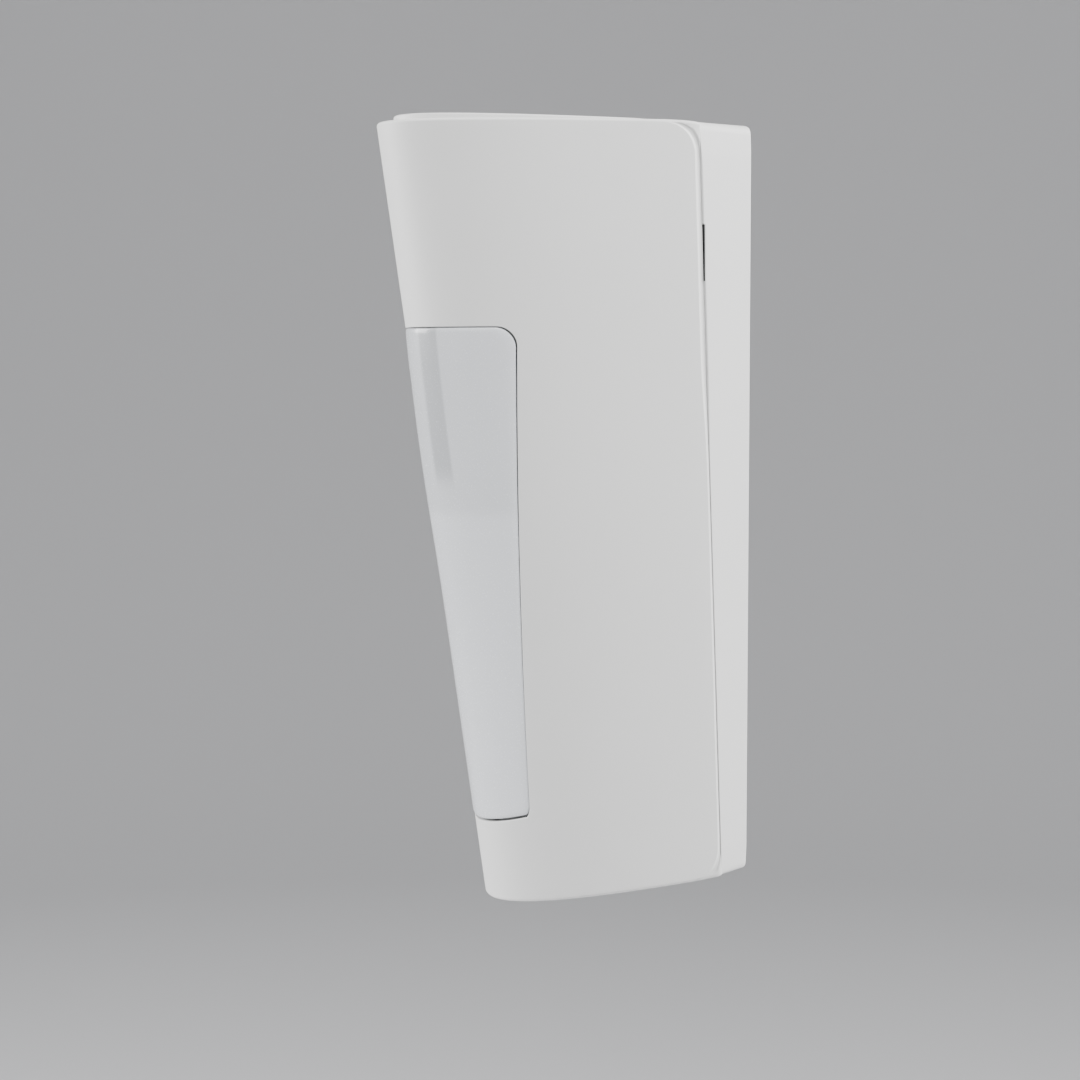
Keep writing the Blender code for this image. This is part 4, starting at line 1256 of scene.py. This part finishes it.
def solder_mask(name, colour):
    """Glossy lacquer over the board, with the weave of the glass cloth faint in it."""
    made = moulded_plastic(name, colour, 0.30, 0.000008, 0.08, coat=0.4)
    tree = made.node_tree
    weave = add_node(tree, "ShaderNodeTexChecker", Scale=900.0)
    place = add_node(tree, "ShaderNodeTexCoord")
    tree.links.new(place.outputs["Object"], weave.inputs["Vector"])
    bump = next(node for node in tree.nodes if node.bl_idname == "ShaderNodeBump")
    both = add_node(tree, "ShaderNodeBump", Strength=0.15, Distance=0.000006)
    tree.links.new(weave.outputs["Fac"], both.inputs["Height"])
    tree.links.new(bump.outputs["Normal"], both.inputs["Normal"])
    tree.links.new(both.outputs["Normal"], tree.nodes["Principled BSDF"].inputs["Normal"])
    return made


def add_block(bm, low, high, edge):
    """Adds a chamfered block to a mesh in the making."""
    add_rings(bm, block_rings(low, high, edge))


def add_track(bm, route, front_y, width=TRACK_WIDTH):
    """One copper track: a low strip along straight and slanted runs."""
    for (x0, z0), (x1, z1) in zip(route, route[1:]):
        run = Vector((x1 - x0, 0, z1 - z0))
        side = Vector((run.z, 0, -run.x)).normalized() * width / 2
        start, end = Vector((x0, front_y, z0)), Vector((x1, front_y, z1))
        low = [start - side, end - side, end + side, start + side]
        add_rings(bm, [low, [point + Vector((0, -TRACK_RISE, 0)) for point in low]])


def group_piece(name, bm, material, body, sharp=35):
    bmesh.ops.recalc_face_normals(bm, faces=bm.faces)
    piece = as_object(name, bm, material, sharp)
    even_shading(piece)
    settle(piece, material, body)
    return piece


def board_tracks():
    bm = bmesh.new()
    for i, x in enumerate(TERMINAL_X):
        drop, target = 0.0660 - 0.0012 * i, CHIP_X + (i - 2.5) * 0.0016
        bend = drop - 0.020 - abs(target - x) * 0.3
        route = ((x, TERMINAL_Z - 0.006), (x, drop), (target, bend), (target, CHIP_Z + 0.007))
        add_track(bm, route, BOARD_FRONT_Y)
    for i in range(5):
        x = -0.0185 + 0.0011 * i
        route = ((x, 0.050 - 0.002 * i), (x, -0.020), (x + 0.003, -0.0245), (x + 0.003, -0.028))
        add_track(bm, route, BOARD_FRONT_Y, FINE_TRACK)
    for i in range(4):
        z = -0.034 - 0.0012 * i
        route = ((-0.006, z), (0.012, z), (0.016, z - 0.004), (0.016, -0.050))
        add_track(bm, route, BOARD_FRONT_Y, FINE_TRACK)
    return bm


def board_pads():
    """Tinned rings round the fixing holes, solder cones at the terminal pins, and test points."""
    bm = bmesh.new()
    for x, z in BOARD_SCREWS:
        for step in range(12):
            a = 2 * math.pi * step / 12
            spot = (x + 0.0036 * math.cos(a), BOARD_FRONT_Y, z + 0.0036 * math.sin(a))
            add_rings(bm, turned_rings(((0.0004, 0), (0.00035, 0.0001)), spot, OUTWARDS, 12))
    for x in TERMINAL_X:
        dot = ((0.0009, 0), (0.0007, 0.00035), (0.00025, 0.0007))
        add_rings(bm, turned_rings(dot, (x, BOARD_FRONT_Y, TERMINAL_Z - 0.0068), OUTWARDS, 16))
    for x, z in ((0.0160, 0.0740), (0.0185, 0.0560), (-0.0190, 0.0720), (-0.0165, 0.0600)):
        point = ((0.0007, 0), (0.0006, 0.00008))
        add_rings(bm, turned_rings(point, (x, BOARD_FRONT_Y, z), OUTWARDS, 20))
    return bm


def small_parts(spots, front_y, bodies, caps):
    """Surface-mounted resistors and capacitors: a dark body between two tinned ends."""
    for x, z, upright in spots:
        long_half, half, rise = 0.0010, 0.0006, 0.0006
        dx, dz = (half, long_half) if upright else (long_half, half)
        inner_x, inner_z = (dx, dz * 0.68) if upright else (dx * 0.68, dz)
        low, high = (x - inner_x, front_y - rise, z - inner_z), (x + inner_x, front_y, z + inner_z)
        add_block(bodies, low, high, 0.00005)
        for side in (-1, 1):
            cx, cz = (x, z + side * dz * 0.84) if upright else (x + side * dx * 0.84, z)
            ex, ez = (dx, dz * 0.16) if upright else (dx * 0.16, dz)
            low, high = (cx - ex, front_y - rise * 1.05, cz - ez), (cx + ex, front_y, cz + ez)
            add_block(caps, low, high, 0.00004)


def chip_legs(bm):
    """Gull-wing legs on the chip's four sides."""
    top, foot = SEAT_Y - 0.0006, BOARD_FRONT_Y - 0.00001
    path = ((-0.0002, top), (0.0005, top), (0.0008, foot), (0.0014, foot))
    for side in range(4):
        turn = Matrix.Translation((CHIP_X, 0, CHIP_Z)) @ Matrix.Rotation(side * math.pi / 2, 4, "Y")
        for i in range(LEGS):
            middle = (i - (LEGS - 1) / 2) * LEG_PITCH
            low, high = middle - LEG_HALF, middle + LEG_HALF
            rings = []
            for reach, y in path:
                corners = ((y, low), (y, high), (y - LEG_THICK, high), (y - LEG_THICK, low))
                rings.append([turn @ Vector((CHIP_HALF + reach, cy, cz)) for cy, cz in corners])
            add_rings(bm, rings)


mask = solder_mask("solder_mask", MASK_GREEN)
track_mask = solder_mask("track_mask", TRACK_GREEN)
tin = plated_metal("tin", (0.70, 0.70, 0.69), 0.36)
black_plastic = moulded_plastic("black_plastic", (0.022, 0.022, 0.023), 0.46, 0.00003, 0.08)
board = finer("main_board", "circuit_board", mask, 0.0001, 1)
settle(board, mask, "base")
group_piece("board_tracks", board_tracks(), track_mask, "base")
solder, chip_parts = board_pads(), bmesh.new()
SMALL_SPOTS = [(-0.0185, 0.0655, True), (-0.0160, 0.0655, True)]
SMALL_SPOTS += [(0.0045, 0.0560, False), (0.0085, 0.0560, False), (-0.0185, 0.0780, True)]
SMALL_SPOTS += [(0.0190, 0.0700, True), (0.0190, 0.0735, True), (-0.0010, 0.0660, False)]
SMALL_SPOTS += [(CHIP_X + dx, CHIP_Z - 0.0095, False) for dx in (-0.006, -0.002, 0.002, 0.006)]
small_parts(SMALL_SPOTS, BOARD_FRONT_Y, chip_parts, solder)
chip_legs(solder)
group_piece("board_solder", solder, tin, "base")
group_piece("board_small_parts", chip_parts, black_plastic, "base")


# ---------------------------------------------------------------------------------------------
# Board components. Relay, chip and capacitor behind the chassis plate, the header for the lead
# to the sensor board, and the tamper switch at the top edge, all soldered to the main board.
def black_component(node, name, width):
    piece = finer(node, name, black_plastic, width)
    settle(piece, black_plastic, "base")
    return piece


black_component("relay", "relay_can", 0.0004)
chip = black_component("processor_chip", "chip_package", 0.00012)
DIMPLE_SPOT = (CHIP_X - 0.0036, SEAT_Y - 0.0016, CHIP_Z + 0.0036)
shape_with(chip, turned_rings(((0.0006, 0), (0.0006, 0.0004)), DIMPLE_SPOT, WALLWARDS, 24), "DIFFERENCE")
black_component("tamper_switch_body", "tamper_switch", 0.0003)

can_sleeve = moulded_plastic("can_sleeve", (0.03, 0.045, 0.10), 0.32, 0.00001, 0.05, coat=0.3)
CAN_PROFILE = (
    (0.0029, 0.0),
    (0.00315, 0.0002),
    (0.00315, 0.0007),
    (0.0029, 0.0009),
    (0.0029, 0.0011),
    (0.00315, 0.0013),
    (0.00315, 0.0045),
    (0.0030, 0.0048),
    (0.0027, 0.0049),
    (0.0026, 0.0047),
)
can = solid_tool(turned_rings(CAN_PROFILE, (0.011, SEAT_Y, -0.012), OUTWARDS), "capacitor_can")
install(can, "capacitor", can_sleeve, "base")

header = finer("lead_connector", "lead_header", inner_plastic, 0.0002)
HEADER_LOW, HEADER_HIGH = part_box("lead_connector")
pocket = block_rings(
    (HEADER_LOW.x + 0.0006, HEADER_LOW.y - 0.001, HEADER_LOW.z + 0.0006),
    (HEADER_HIGH.x - 0.0006, HEADER_HIGH.y - 0.0012, HEADER_HIGH.z - 0.0006),
    0.0001,
)
shape_with(header, pocket, "DIFFERENCE")
settle(header, inner_plastic, "base")
pins = bmesh.new()
for i in range(4):
    x = (HEADER_LOW.x + HEADER_HIGH.x) / 2 + (i - 1.5) * 0.0018
    z = (HEADER_LOW.z + HEADER_HIGH.z) / 2
    low, high = (x - 0.0003, HEADER_LOW.y + 0.0008, z - 0.0003), (x + 0.0003, HEADER_HIGH.y, z + 0.0003)
    add_block(pins, low, high, 0.0001)
group_piece("header_pins", pins, tin, "base")


# ---------------------------------------------------------------------------------------------
# Terminal block. Green screw terminals for the alarm cable: six clamp wells with a funnel above
# each, and slotted brass screws, tin plated, sunk in the wells.
terminal_green = moulded_plastic("terminal_green", (0.02, 0.20, 0.085), 0.38, 0.00002, 0.06)
terminal = finer("terminal_block", "terminal_housing", terminal_green, 0.00022)
BLOCK_LOW, BLOCK_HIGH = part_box("terminal_block")
for i in range(5):
    x = (TERMINAL_X[i] + TERMINAL_X[i + 1]) / 2
    low = (x - 0.0002, BLOCK_LOW.y - 0.001, BLOCK_LOW.z - 0.001)
    high = (x + 0.0002, BLOCK_LOW.y + 0.0005, BLOCK_HIGH.z + 0.001)
    shape_with(terminal, block_rings(low, high, 0.00005), "DIFFERENCE")
even_shading(terminal)
settle(terminal, terminal_green, "base")
for i in range(6):
    low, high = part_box(f"terminal_screw_{i + 1}")
    radius, middle = (high.x - low.x) / 2, (low + high) / 2
    edge = 0.0002
    profile = ((radius, 0), (radius, high.y - low.y - edge), (radius - edge, high.y - low.y))
    rings = turned_rings(profile, (middle.x, high.y, middle.z), OUTWARDS, 40)
    screw = solid_tool(rings, f"clamp_screw_{i + 1}")
    slot_low = (middle.x - radius - 0.0005, low.y - 0.0005, middle.z - 0.00025)
    slot_high = (middle.x + radius + 0.0005, low.y + 0.0009, middle.z + 0.00025)
    shape_with(screw, block_rings(slot_low, slot_high, 0.00005), "DIFFERENCE")
    screw.data.transform(
        Matrix.Translation(middle) @ Matrix.Rotation(0.5 * i * i, 4, "Y") @ Matrix.Translation(-middle)
    )
    install(screw, f"terminal_screw_{i + 1}", tin, "base")
clamps = bmesh.new()
for x in TERMINAL_X:
    low = (x - 0.0012, BLOCK_LOW.y + 0.0050, TERMINAL_Z + 0.0018)
    add_block(clamps, low, (x + 0.0012, BLOCK_LOW.y + 0.0054, TERMINAL_Z + 0.0042), 0.0001)
group_piece("clamp_plates", clamps, tin, "base")


# ---------------------------------------------------------------------------------------------
# Setting switches. A red four-way slide switch block with white sliders that move up and down
# in its pockets.
switch_red = moulded_plastic("switch_red", (0.33, 0.018, 0.016), 0.38, 0.00002, 0.05)
slider_white = moulded_plastic("slider_white", (0.66, 0.66, 0.64), 0.40, 0.00001, 0.03)
switches = finer("dip_switch_body", "switch_block", switch_red, 0.00012)
settle(switches, switch_red, "base")
for i in range(4):
    slider = finer(f"dip_slider_{i + 1}", f"switch_slider_{i + 1}", slider_white, 0.0001)
    settle(slider, slider_white, f"dip_slider_{i + 1}")


# ---------------------------------------------------------------------------------------------
# Tamper plunger. An orange button with a rounded tip; the cover's top wall holds it down and a
# spring inside the switch lifts it when the cover opens.
plunger_orange = moulded_plastic("plunger_orange", (0.55, 0.17, 0.03), 0.40, 0.00002, 0.05)
PLUNGER_LOW, PLUNGER_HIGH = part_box("tamper_plunger")
PLUNGER_RADIUS, PLUNGER_LENGTH = (PLUNGER_HIGH.x - PLUNGER_LOW.x) / 2, PLUNGER_HIGH.z - PLUNGER_LOW.z
tip = [
    (PLUNGER_RADIUS * math.cos(a), PLUNGER_LENGTH - PLUNGER_RADIUS * 0.8 * (1 - math.sin(a)))
    for a in (0, 0.25, 0.5, 0.75, 1.0, 1.25, 1.5)
]
foot = (PLUNGER_LOW + PLUNGER_HIGH) / 2
rings = turned_rings([(PLUNGER_RADIUS, 0), *tip], (foot.x, foot.y, PLUNGER_LOW.z), UPWARDS, 32)
plunger = solid_tool(rings, "tamper_button")
install(plunger, "tamper_plunger", plunger_orange, "tamper_plunger")


# ---------------------------------------------------------------------------------------------
# Sensor head. A turning frame: three discs on a spine, with a pivot at each end and fine notches
# round the two end discs, where a click spring holds the chosen angle.
PAN_JOINT = next(joint for joint in frame["joints"] if joint["name"] == "head_pan")
PAN_TILT = math.atan(-NOSE_SLOPE)
PAN = Matrix.Translation(PAN_JOINT["pos_m"]) @ Matrix.Rotation(PAN_TILT, 4, "X")
DISC_RADIUS, HEAD_HALF, DISC_THICK, DIVIDER_Z = 0.0152, 0.0585, 0.0026, 0.0165
NOTCHES, NOTCH_RADIUS = 9, 0.00045

head = finer("head_frame", "head_cage", inner_plastic, 0.0003)
for level in (-HEAD_HALF + DISC_THICK / 2, HEAD_HALF - DISC_THICK / 2):
    for i in range(NOTCHES):
        turn = math.radians(90 + (i - (NOTCHES - 1) / 2) * 11.25)
        spot = PAN @ Vector((DISC_RADIUS * math.cos(turn), DISC_RADIUS * math.sin(turn), level - 0.002))
        along = PAN.to_3x3() @ Vector((0, 0, 1))
        notch = turned_rings(((NOTCH_RADIUS, 0), (NOTCH_RADIUS, 0.004)), spot, along, 12)
        shape_with(head, notch, "DIFFERENCE")
even_shading(head)
settle(head, inner_plastic, "sensor_head")


# ---------------------------------------------------------------------------------------------
# Lenses. Thin translucent polythene sheets rolled round the head, moulded with rows of small
# round Fresnel lenses, whose rings show as fine ridges.
LENS_ARC, LENS_OUTER, LENS_THICK = math.radians(78), DISC_RADIUS - 0.0001, 0.0009
LENS_COLUMNS, RING_PITCH, RING_DEPTH = 7, 0.0011, 0.00012
ARC_STEPS, LEVEL_STEP = 168, 0.00028


def lens_drop(angle, level, cells, low, high):
    """How deep the surface is at a point, from the saw-tooth rings of the nearest small lens."""
    across = (angle + LENS_ARC) / (2 * LENS_ARC) * LENS_COLUMNS
    along = (level - low) / (high - low) * cells
    lens_width = 2 * LENS_ARC * LENS_OUTER / LENS_COLUMNS
    dx = (across - math.floor(min(across, LENS_COLUMNS - 0.001)) - 0.5) * lens_width
    dz = (along - math.floor(min(along, cells - 0.001)) - 0.5) * (high - low) / cells
    reach = math.hypot(dx, dz) / RING_PITCH
    rim = min(level - low, high - level, (LENS_ARC - abs(angle)) * LENS_OUTER)
    return RING_DEPTH * (reach - math.floor(reach)) if rim > 0.0008 else 0.0


def fresnel_lens(name, low, high, cells):
    shell = Shell()
    rows = []
    steps = int((high - low) / LEVEL_STEP)
    for j in range(steps + 1):
        level = low + (high - low) * j / steps
        row = []
        for i in range(ARC_STEPS + 1):
            angle = -LENS_ARC + 2 * LENS_ARC * i / ARC_STEPS
            way = Vector((math.sin(angle), -math.cos(angle), 0))
            up = Vector((0, 0, level))
            outer = way * (LENS_OUTER - lens_drop(angle, level, cells, low, high)) + up
            row.append(shell.point(PAN @ outer, PAN @ (way * (LENS_OUTER - LENS_THICK) + up)))
        rows.append(row)
    for first, second in zip(rows, rows[1:]):
        shell.bridge(first, second, closed=False)
    shell.close()
    return shell.finish(name, lens_polythene, merge=0.000005, sharp=60)


lens_polythene = moulded_plastic("lens_polythene", (0.78, 0.79, 0.80), 0.34, 0.00001, 0.012)
lens_polythene.node_tree.nodes["Principled BSDF"].inputs["Transmission Weight"].default_value = 0.15
LENS_FOOT, LENS_EDGE = -HEAD_HALF + DISC_THICK + 0.0003, DISC_THICK / 2 + 0.0003
for name, node, low, high, cells in (
    ("lower_fresnel", "lower_lens", LENS_FOOT, DIVIDER_Z - LENS_EDGE, 8),
    ("upper_fresnel", "upper_lens", DIVIDER_Z + LENS_EDGE, -LENS_FOOT, 4),
):
    lens = fresnel_lens(name, low, high, cells)
    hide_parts(node)
    settle(lens, lens_polythene, "sensor_head")


# ---------------------------------------------------------------------------------------------
# Sensor carriage. A narrow board that slides on the spine to set the range. It carries two heat
# sensors in plated cans with dark filter windows, the status lamp and a ridged tab.
SENSOR_FRONT = 0.0062 - 0.0022 - 0.0004 - 0.0012
PYRO_RADIUS, PYRO_HEIGHT = 0.0045, 0.0042

strip = finer("sensor_board", "sensor_strip", mask, 0.0001, 1)
settle(strip, mask, "sensor_carriage")

nickel = plated_metal("nickel_can", (0.66, 0.63, 0.56), 0.26)
filter_glass = moulded_plastic("filter_glass", (0.02, 0.018, 0.022), 0.15, 0.000004, 0.05, coat=0.5)
CAN_STEPS = (
    (PYRO_RADIUS, 0.0),
    (PYRO_RADIUS, 0.0004),
    (PYRO_RADIUS - 0.0005, 0.0006),
    (PYRO_RADIUS - 0.0005, PYRO_HEIGHT - 0.0007),
    (PYRO_RADIUS - 0.0006, PYRO_HEIGHT - 0.0003),
    (PYRO_RADIUS - 0.0009, PYRO_HEIGHT - 0.00005),
    (PYRO_RADIUS - 0.0013, PYRO_HEIGHT),
)
into_room = PAN.to_3x3() @ Vector((0, -1, 0))
for name, node, level in (("upper", "upper_pyro_sensor", 0.0365), ("lower", "lower_pyro_sensor", -0.0205)):
    seat = PAN @ Vector((0, SENSOR_FRONT - 0.0003, level))
    can = solid_tool(turned_rings(CAN_STEPS, seat, into_room, 64), f"{name}_sensor_can")
    half_x, half_z, top = 0.0020, 0.0016, SENSOR_FRONT - 0.0003 - PYRO_HEIGHT
    corners = ((-half_x, -half_z), (half_x, -half_z), (half_x, half_z), (-half_x, half_z))
    cut = [[PAN @ Vector((x, y, level + z)) for x, z in corners] for y in (top - 0.001, top + 0.0003)]
    shape_with(can, cut, "DIFFERENCE")
    install(can, node, nickel, "sensor_carriage")
    edge = 0.00003
    low = (-half_x + edge, top + 0.00008, level - half_z + edge)
    high = (half_x - edge, top + 0.00029, level + half_z - edge)
    glass = bmesh.new()
    add_block(glass, low, high, 0.00004)
    bmesh.ops.transform(glass, matrix=PAN, verts=glass.verts)
    group_piece(f"{name}_sensor_filter", glass, filter_glass, "sensor_carriage")

strip_solder, strip_parts = bmesh.new(), bmesh.new()
STRIP_LEVELS = ((0.006, True), (-0.006, True), (-0.034, False))
STRIP_SPOTS = [(x, z, upright) for x in (-0.006, 0.006) for z, upright in STRIP_LEVELS]
small_parts(STRIP_SPOTS, SENSOR_FRONT, strip_parts, strip_solder)
for bm in (strip_solder, strip_parts):
    bmesh.ops.transform(bm, matrix=PAN, verts=bm.verts)
group_piece("strip_solder", strip_solder, tin, "sensor_carriage")
group_piece("strip_small_parts", strip_parts, black_plastic, "sensor_carriage")

lamp_red = moulded_plastic("lamp_red", (0.55, 0.03, 0.02), 0.12, 0.000004, 0.03, coat=0.5)
lamp_red.node_tree.nodes["Principled BSDF"].inputs["Transmission Weight"].default_value = 0.3
dome = [(0.0015 * math.cos(a), 0.0019 + 0.0015 * math.sin(a)) for a in (0, 0.3, 0.6, 0.9, 1.2, 1.5)]
LAMP_PROFILE = [(0.0015, 0), (0.0015, 0.0004), (0.0014, 0.0005), (0.0014, 0.0012), (0.0015, 0.0013), *dome]
seat = PAN @ Vector((0, SENSOR_FRONT - 0.0003, -0.0455))
lamp = solid_tool(turned_rings(LAMP_PROFILE, seat, into_room, 32), "status_lamp")
install(lamp, "status_led", lamp_red, "sensor_carriage")

tab_amber = moulded_plastic("tab_amber", (0.60, 0.26, 0.03), 0.38, 0.00002, 0.05)
tab = finer("range_tab", "range_slider_tab", tab_amber, 0.0002)
for i in range(3):
    z, front = 0.0452 + 0.0008 * i, SENSOR_FRONT - 0.0033
    corners = ((front - 0.0003, z - 0.0003), (front + 0.0002, z), (front - 0.0003, z + 0.0003))
    groove = [[PAN @ Vector((x, *corner)) for corner in corners] for x in (-0.004, 0.004)]
    shape_with(tab, groove, "DIFFERENCE")
even_shading(tab)
settle(tab, tab_amber, "sensor_carriage")


# ---------------------------------------------------------------------------------------------
# Lock screw. A captive plated screw in the underside that draws the cover's foot to the chassis
# lug, with a rubber ring under its head. It backs out and stays in the cover.
LOCK_LOW, LOCK_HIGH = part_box("lock_screw")
LOCK_HEAD = 0.0031
LOCK_PROFILE = (
    (LOCK_HEAD - 0.0008, 0.0),
    (LOCK_HEAD - 0.0003, 0.0001),
    (LOCK_HEAD, 0.0005),
    (LOCK_HEAD, 0.0012),
    (LOCK_HEAD - 0.0002, 0.0014),
    (0.0014, 0.0014),
    (0.0014, 0.0050),
)
THREAD_LENGTH = 0.0062
thread_start = LOCK_HIGH.z - LOCK_LOW.z - THREAD_LENGTH
thread = [(radius, thread_start + distance) for radius, distance in threaded(THREAD_LENGTH, 0.0014)]
lock_start = ((LOCK_LOW.x + LOCK_HIGH.x) / 2, (LOCK_LOW.y + LOCK_HIGH.y) / 2, LOCK_LOW.z)
rings = turned_rings([*LOCK_PROFILE, *reversed(thread)], lock_start, UPWARDS, 40)
lock = solid_tool(rings, "cover_lock_screw")
face = Matrix.Translation(lock_start) @ Matrix.Rotation(math.pi, 4, "X")
cut_cross(lock, face, LOCK_HEAD * 0.55, 0.0009)
install(lock, "lock_screw", zinc, "lock_screw")

ring_low, ring_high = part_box("lock_screw_ring")
RING_MIDDLE, RING_HALF = 0.0023, 0.0006
ring_profile = []
for i in range(12):
    a = 2 * math.pi * i / 12
    height = (ring_high.z - ring_low.z) / 2 * (1 + math.sin(a))
    ring_profile.append((RING_MIDDLE + RING_HALF * math.cos(a), height))
rings = turned_rings(ring_profile, (*lock_start[:2], ring_low.z), UPWARDS, 40)
install(looped("lock_ring", rings), "lock_screw_ring", rubber, "lock_screw")
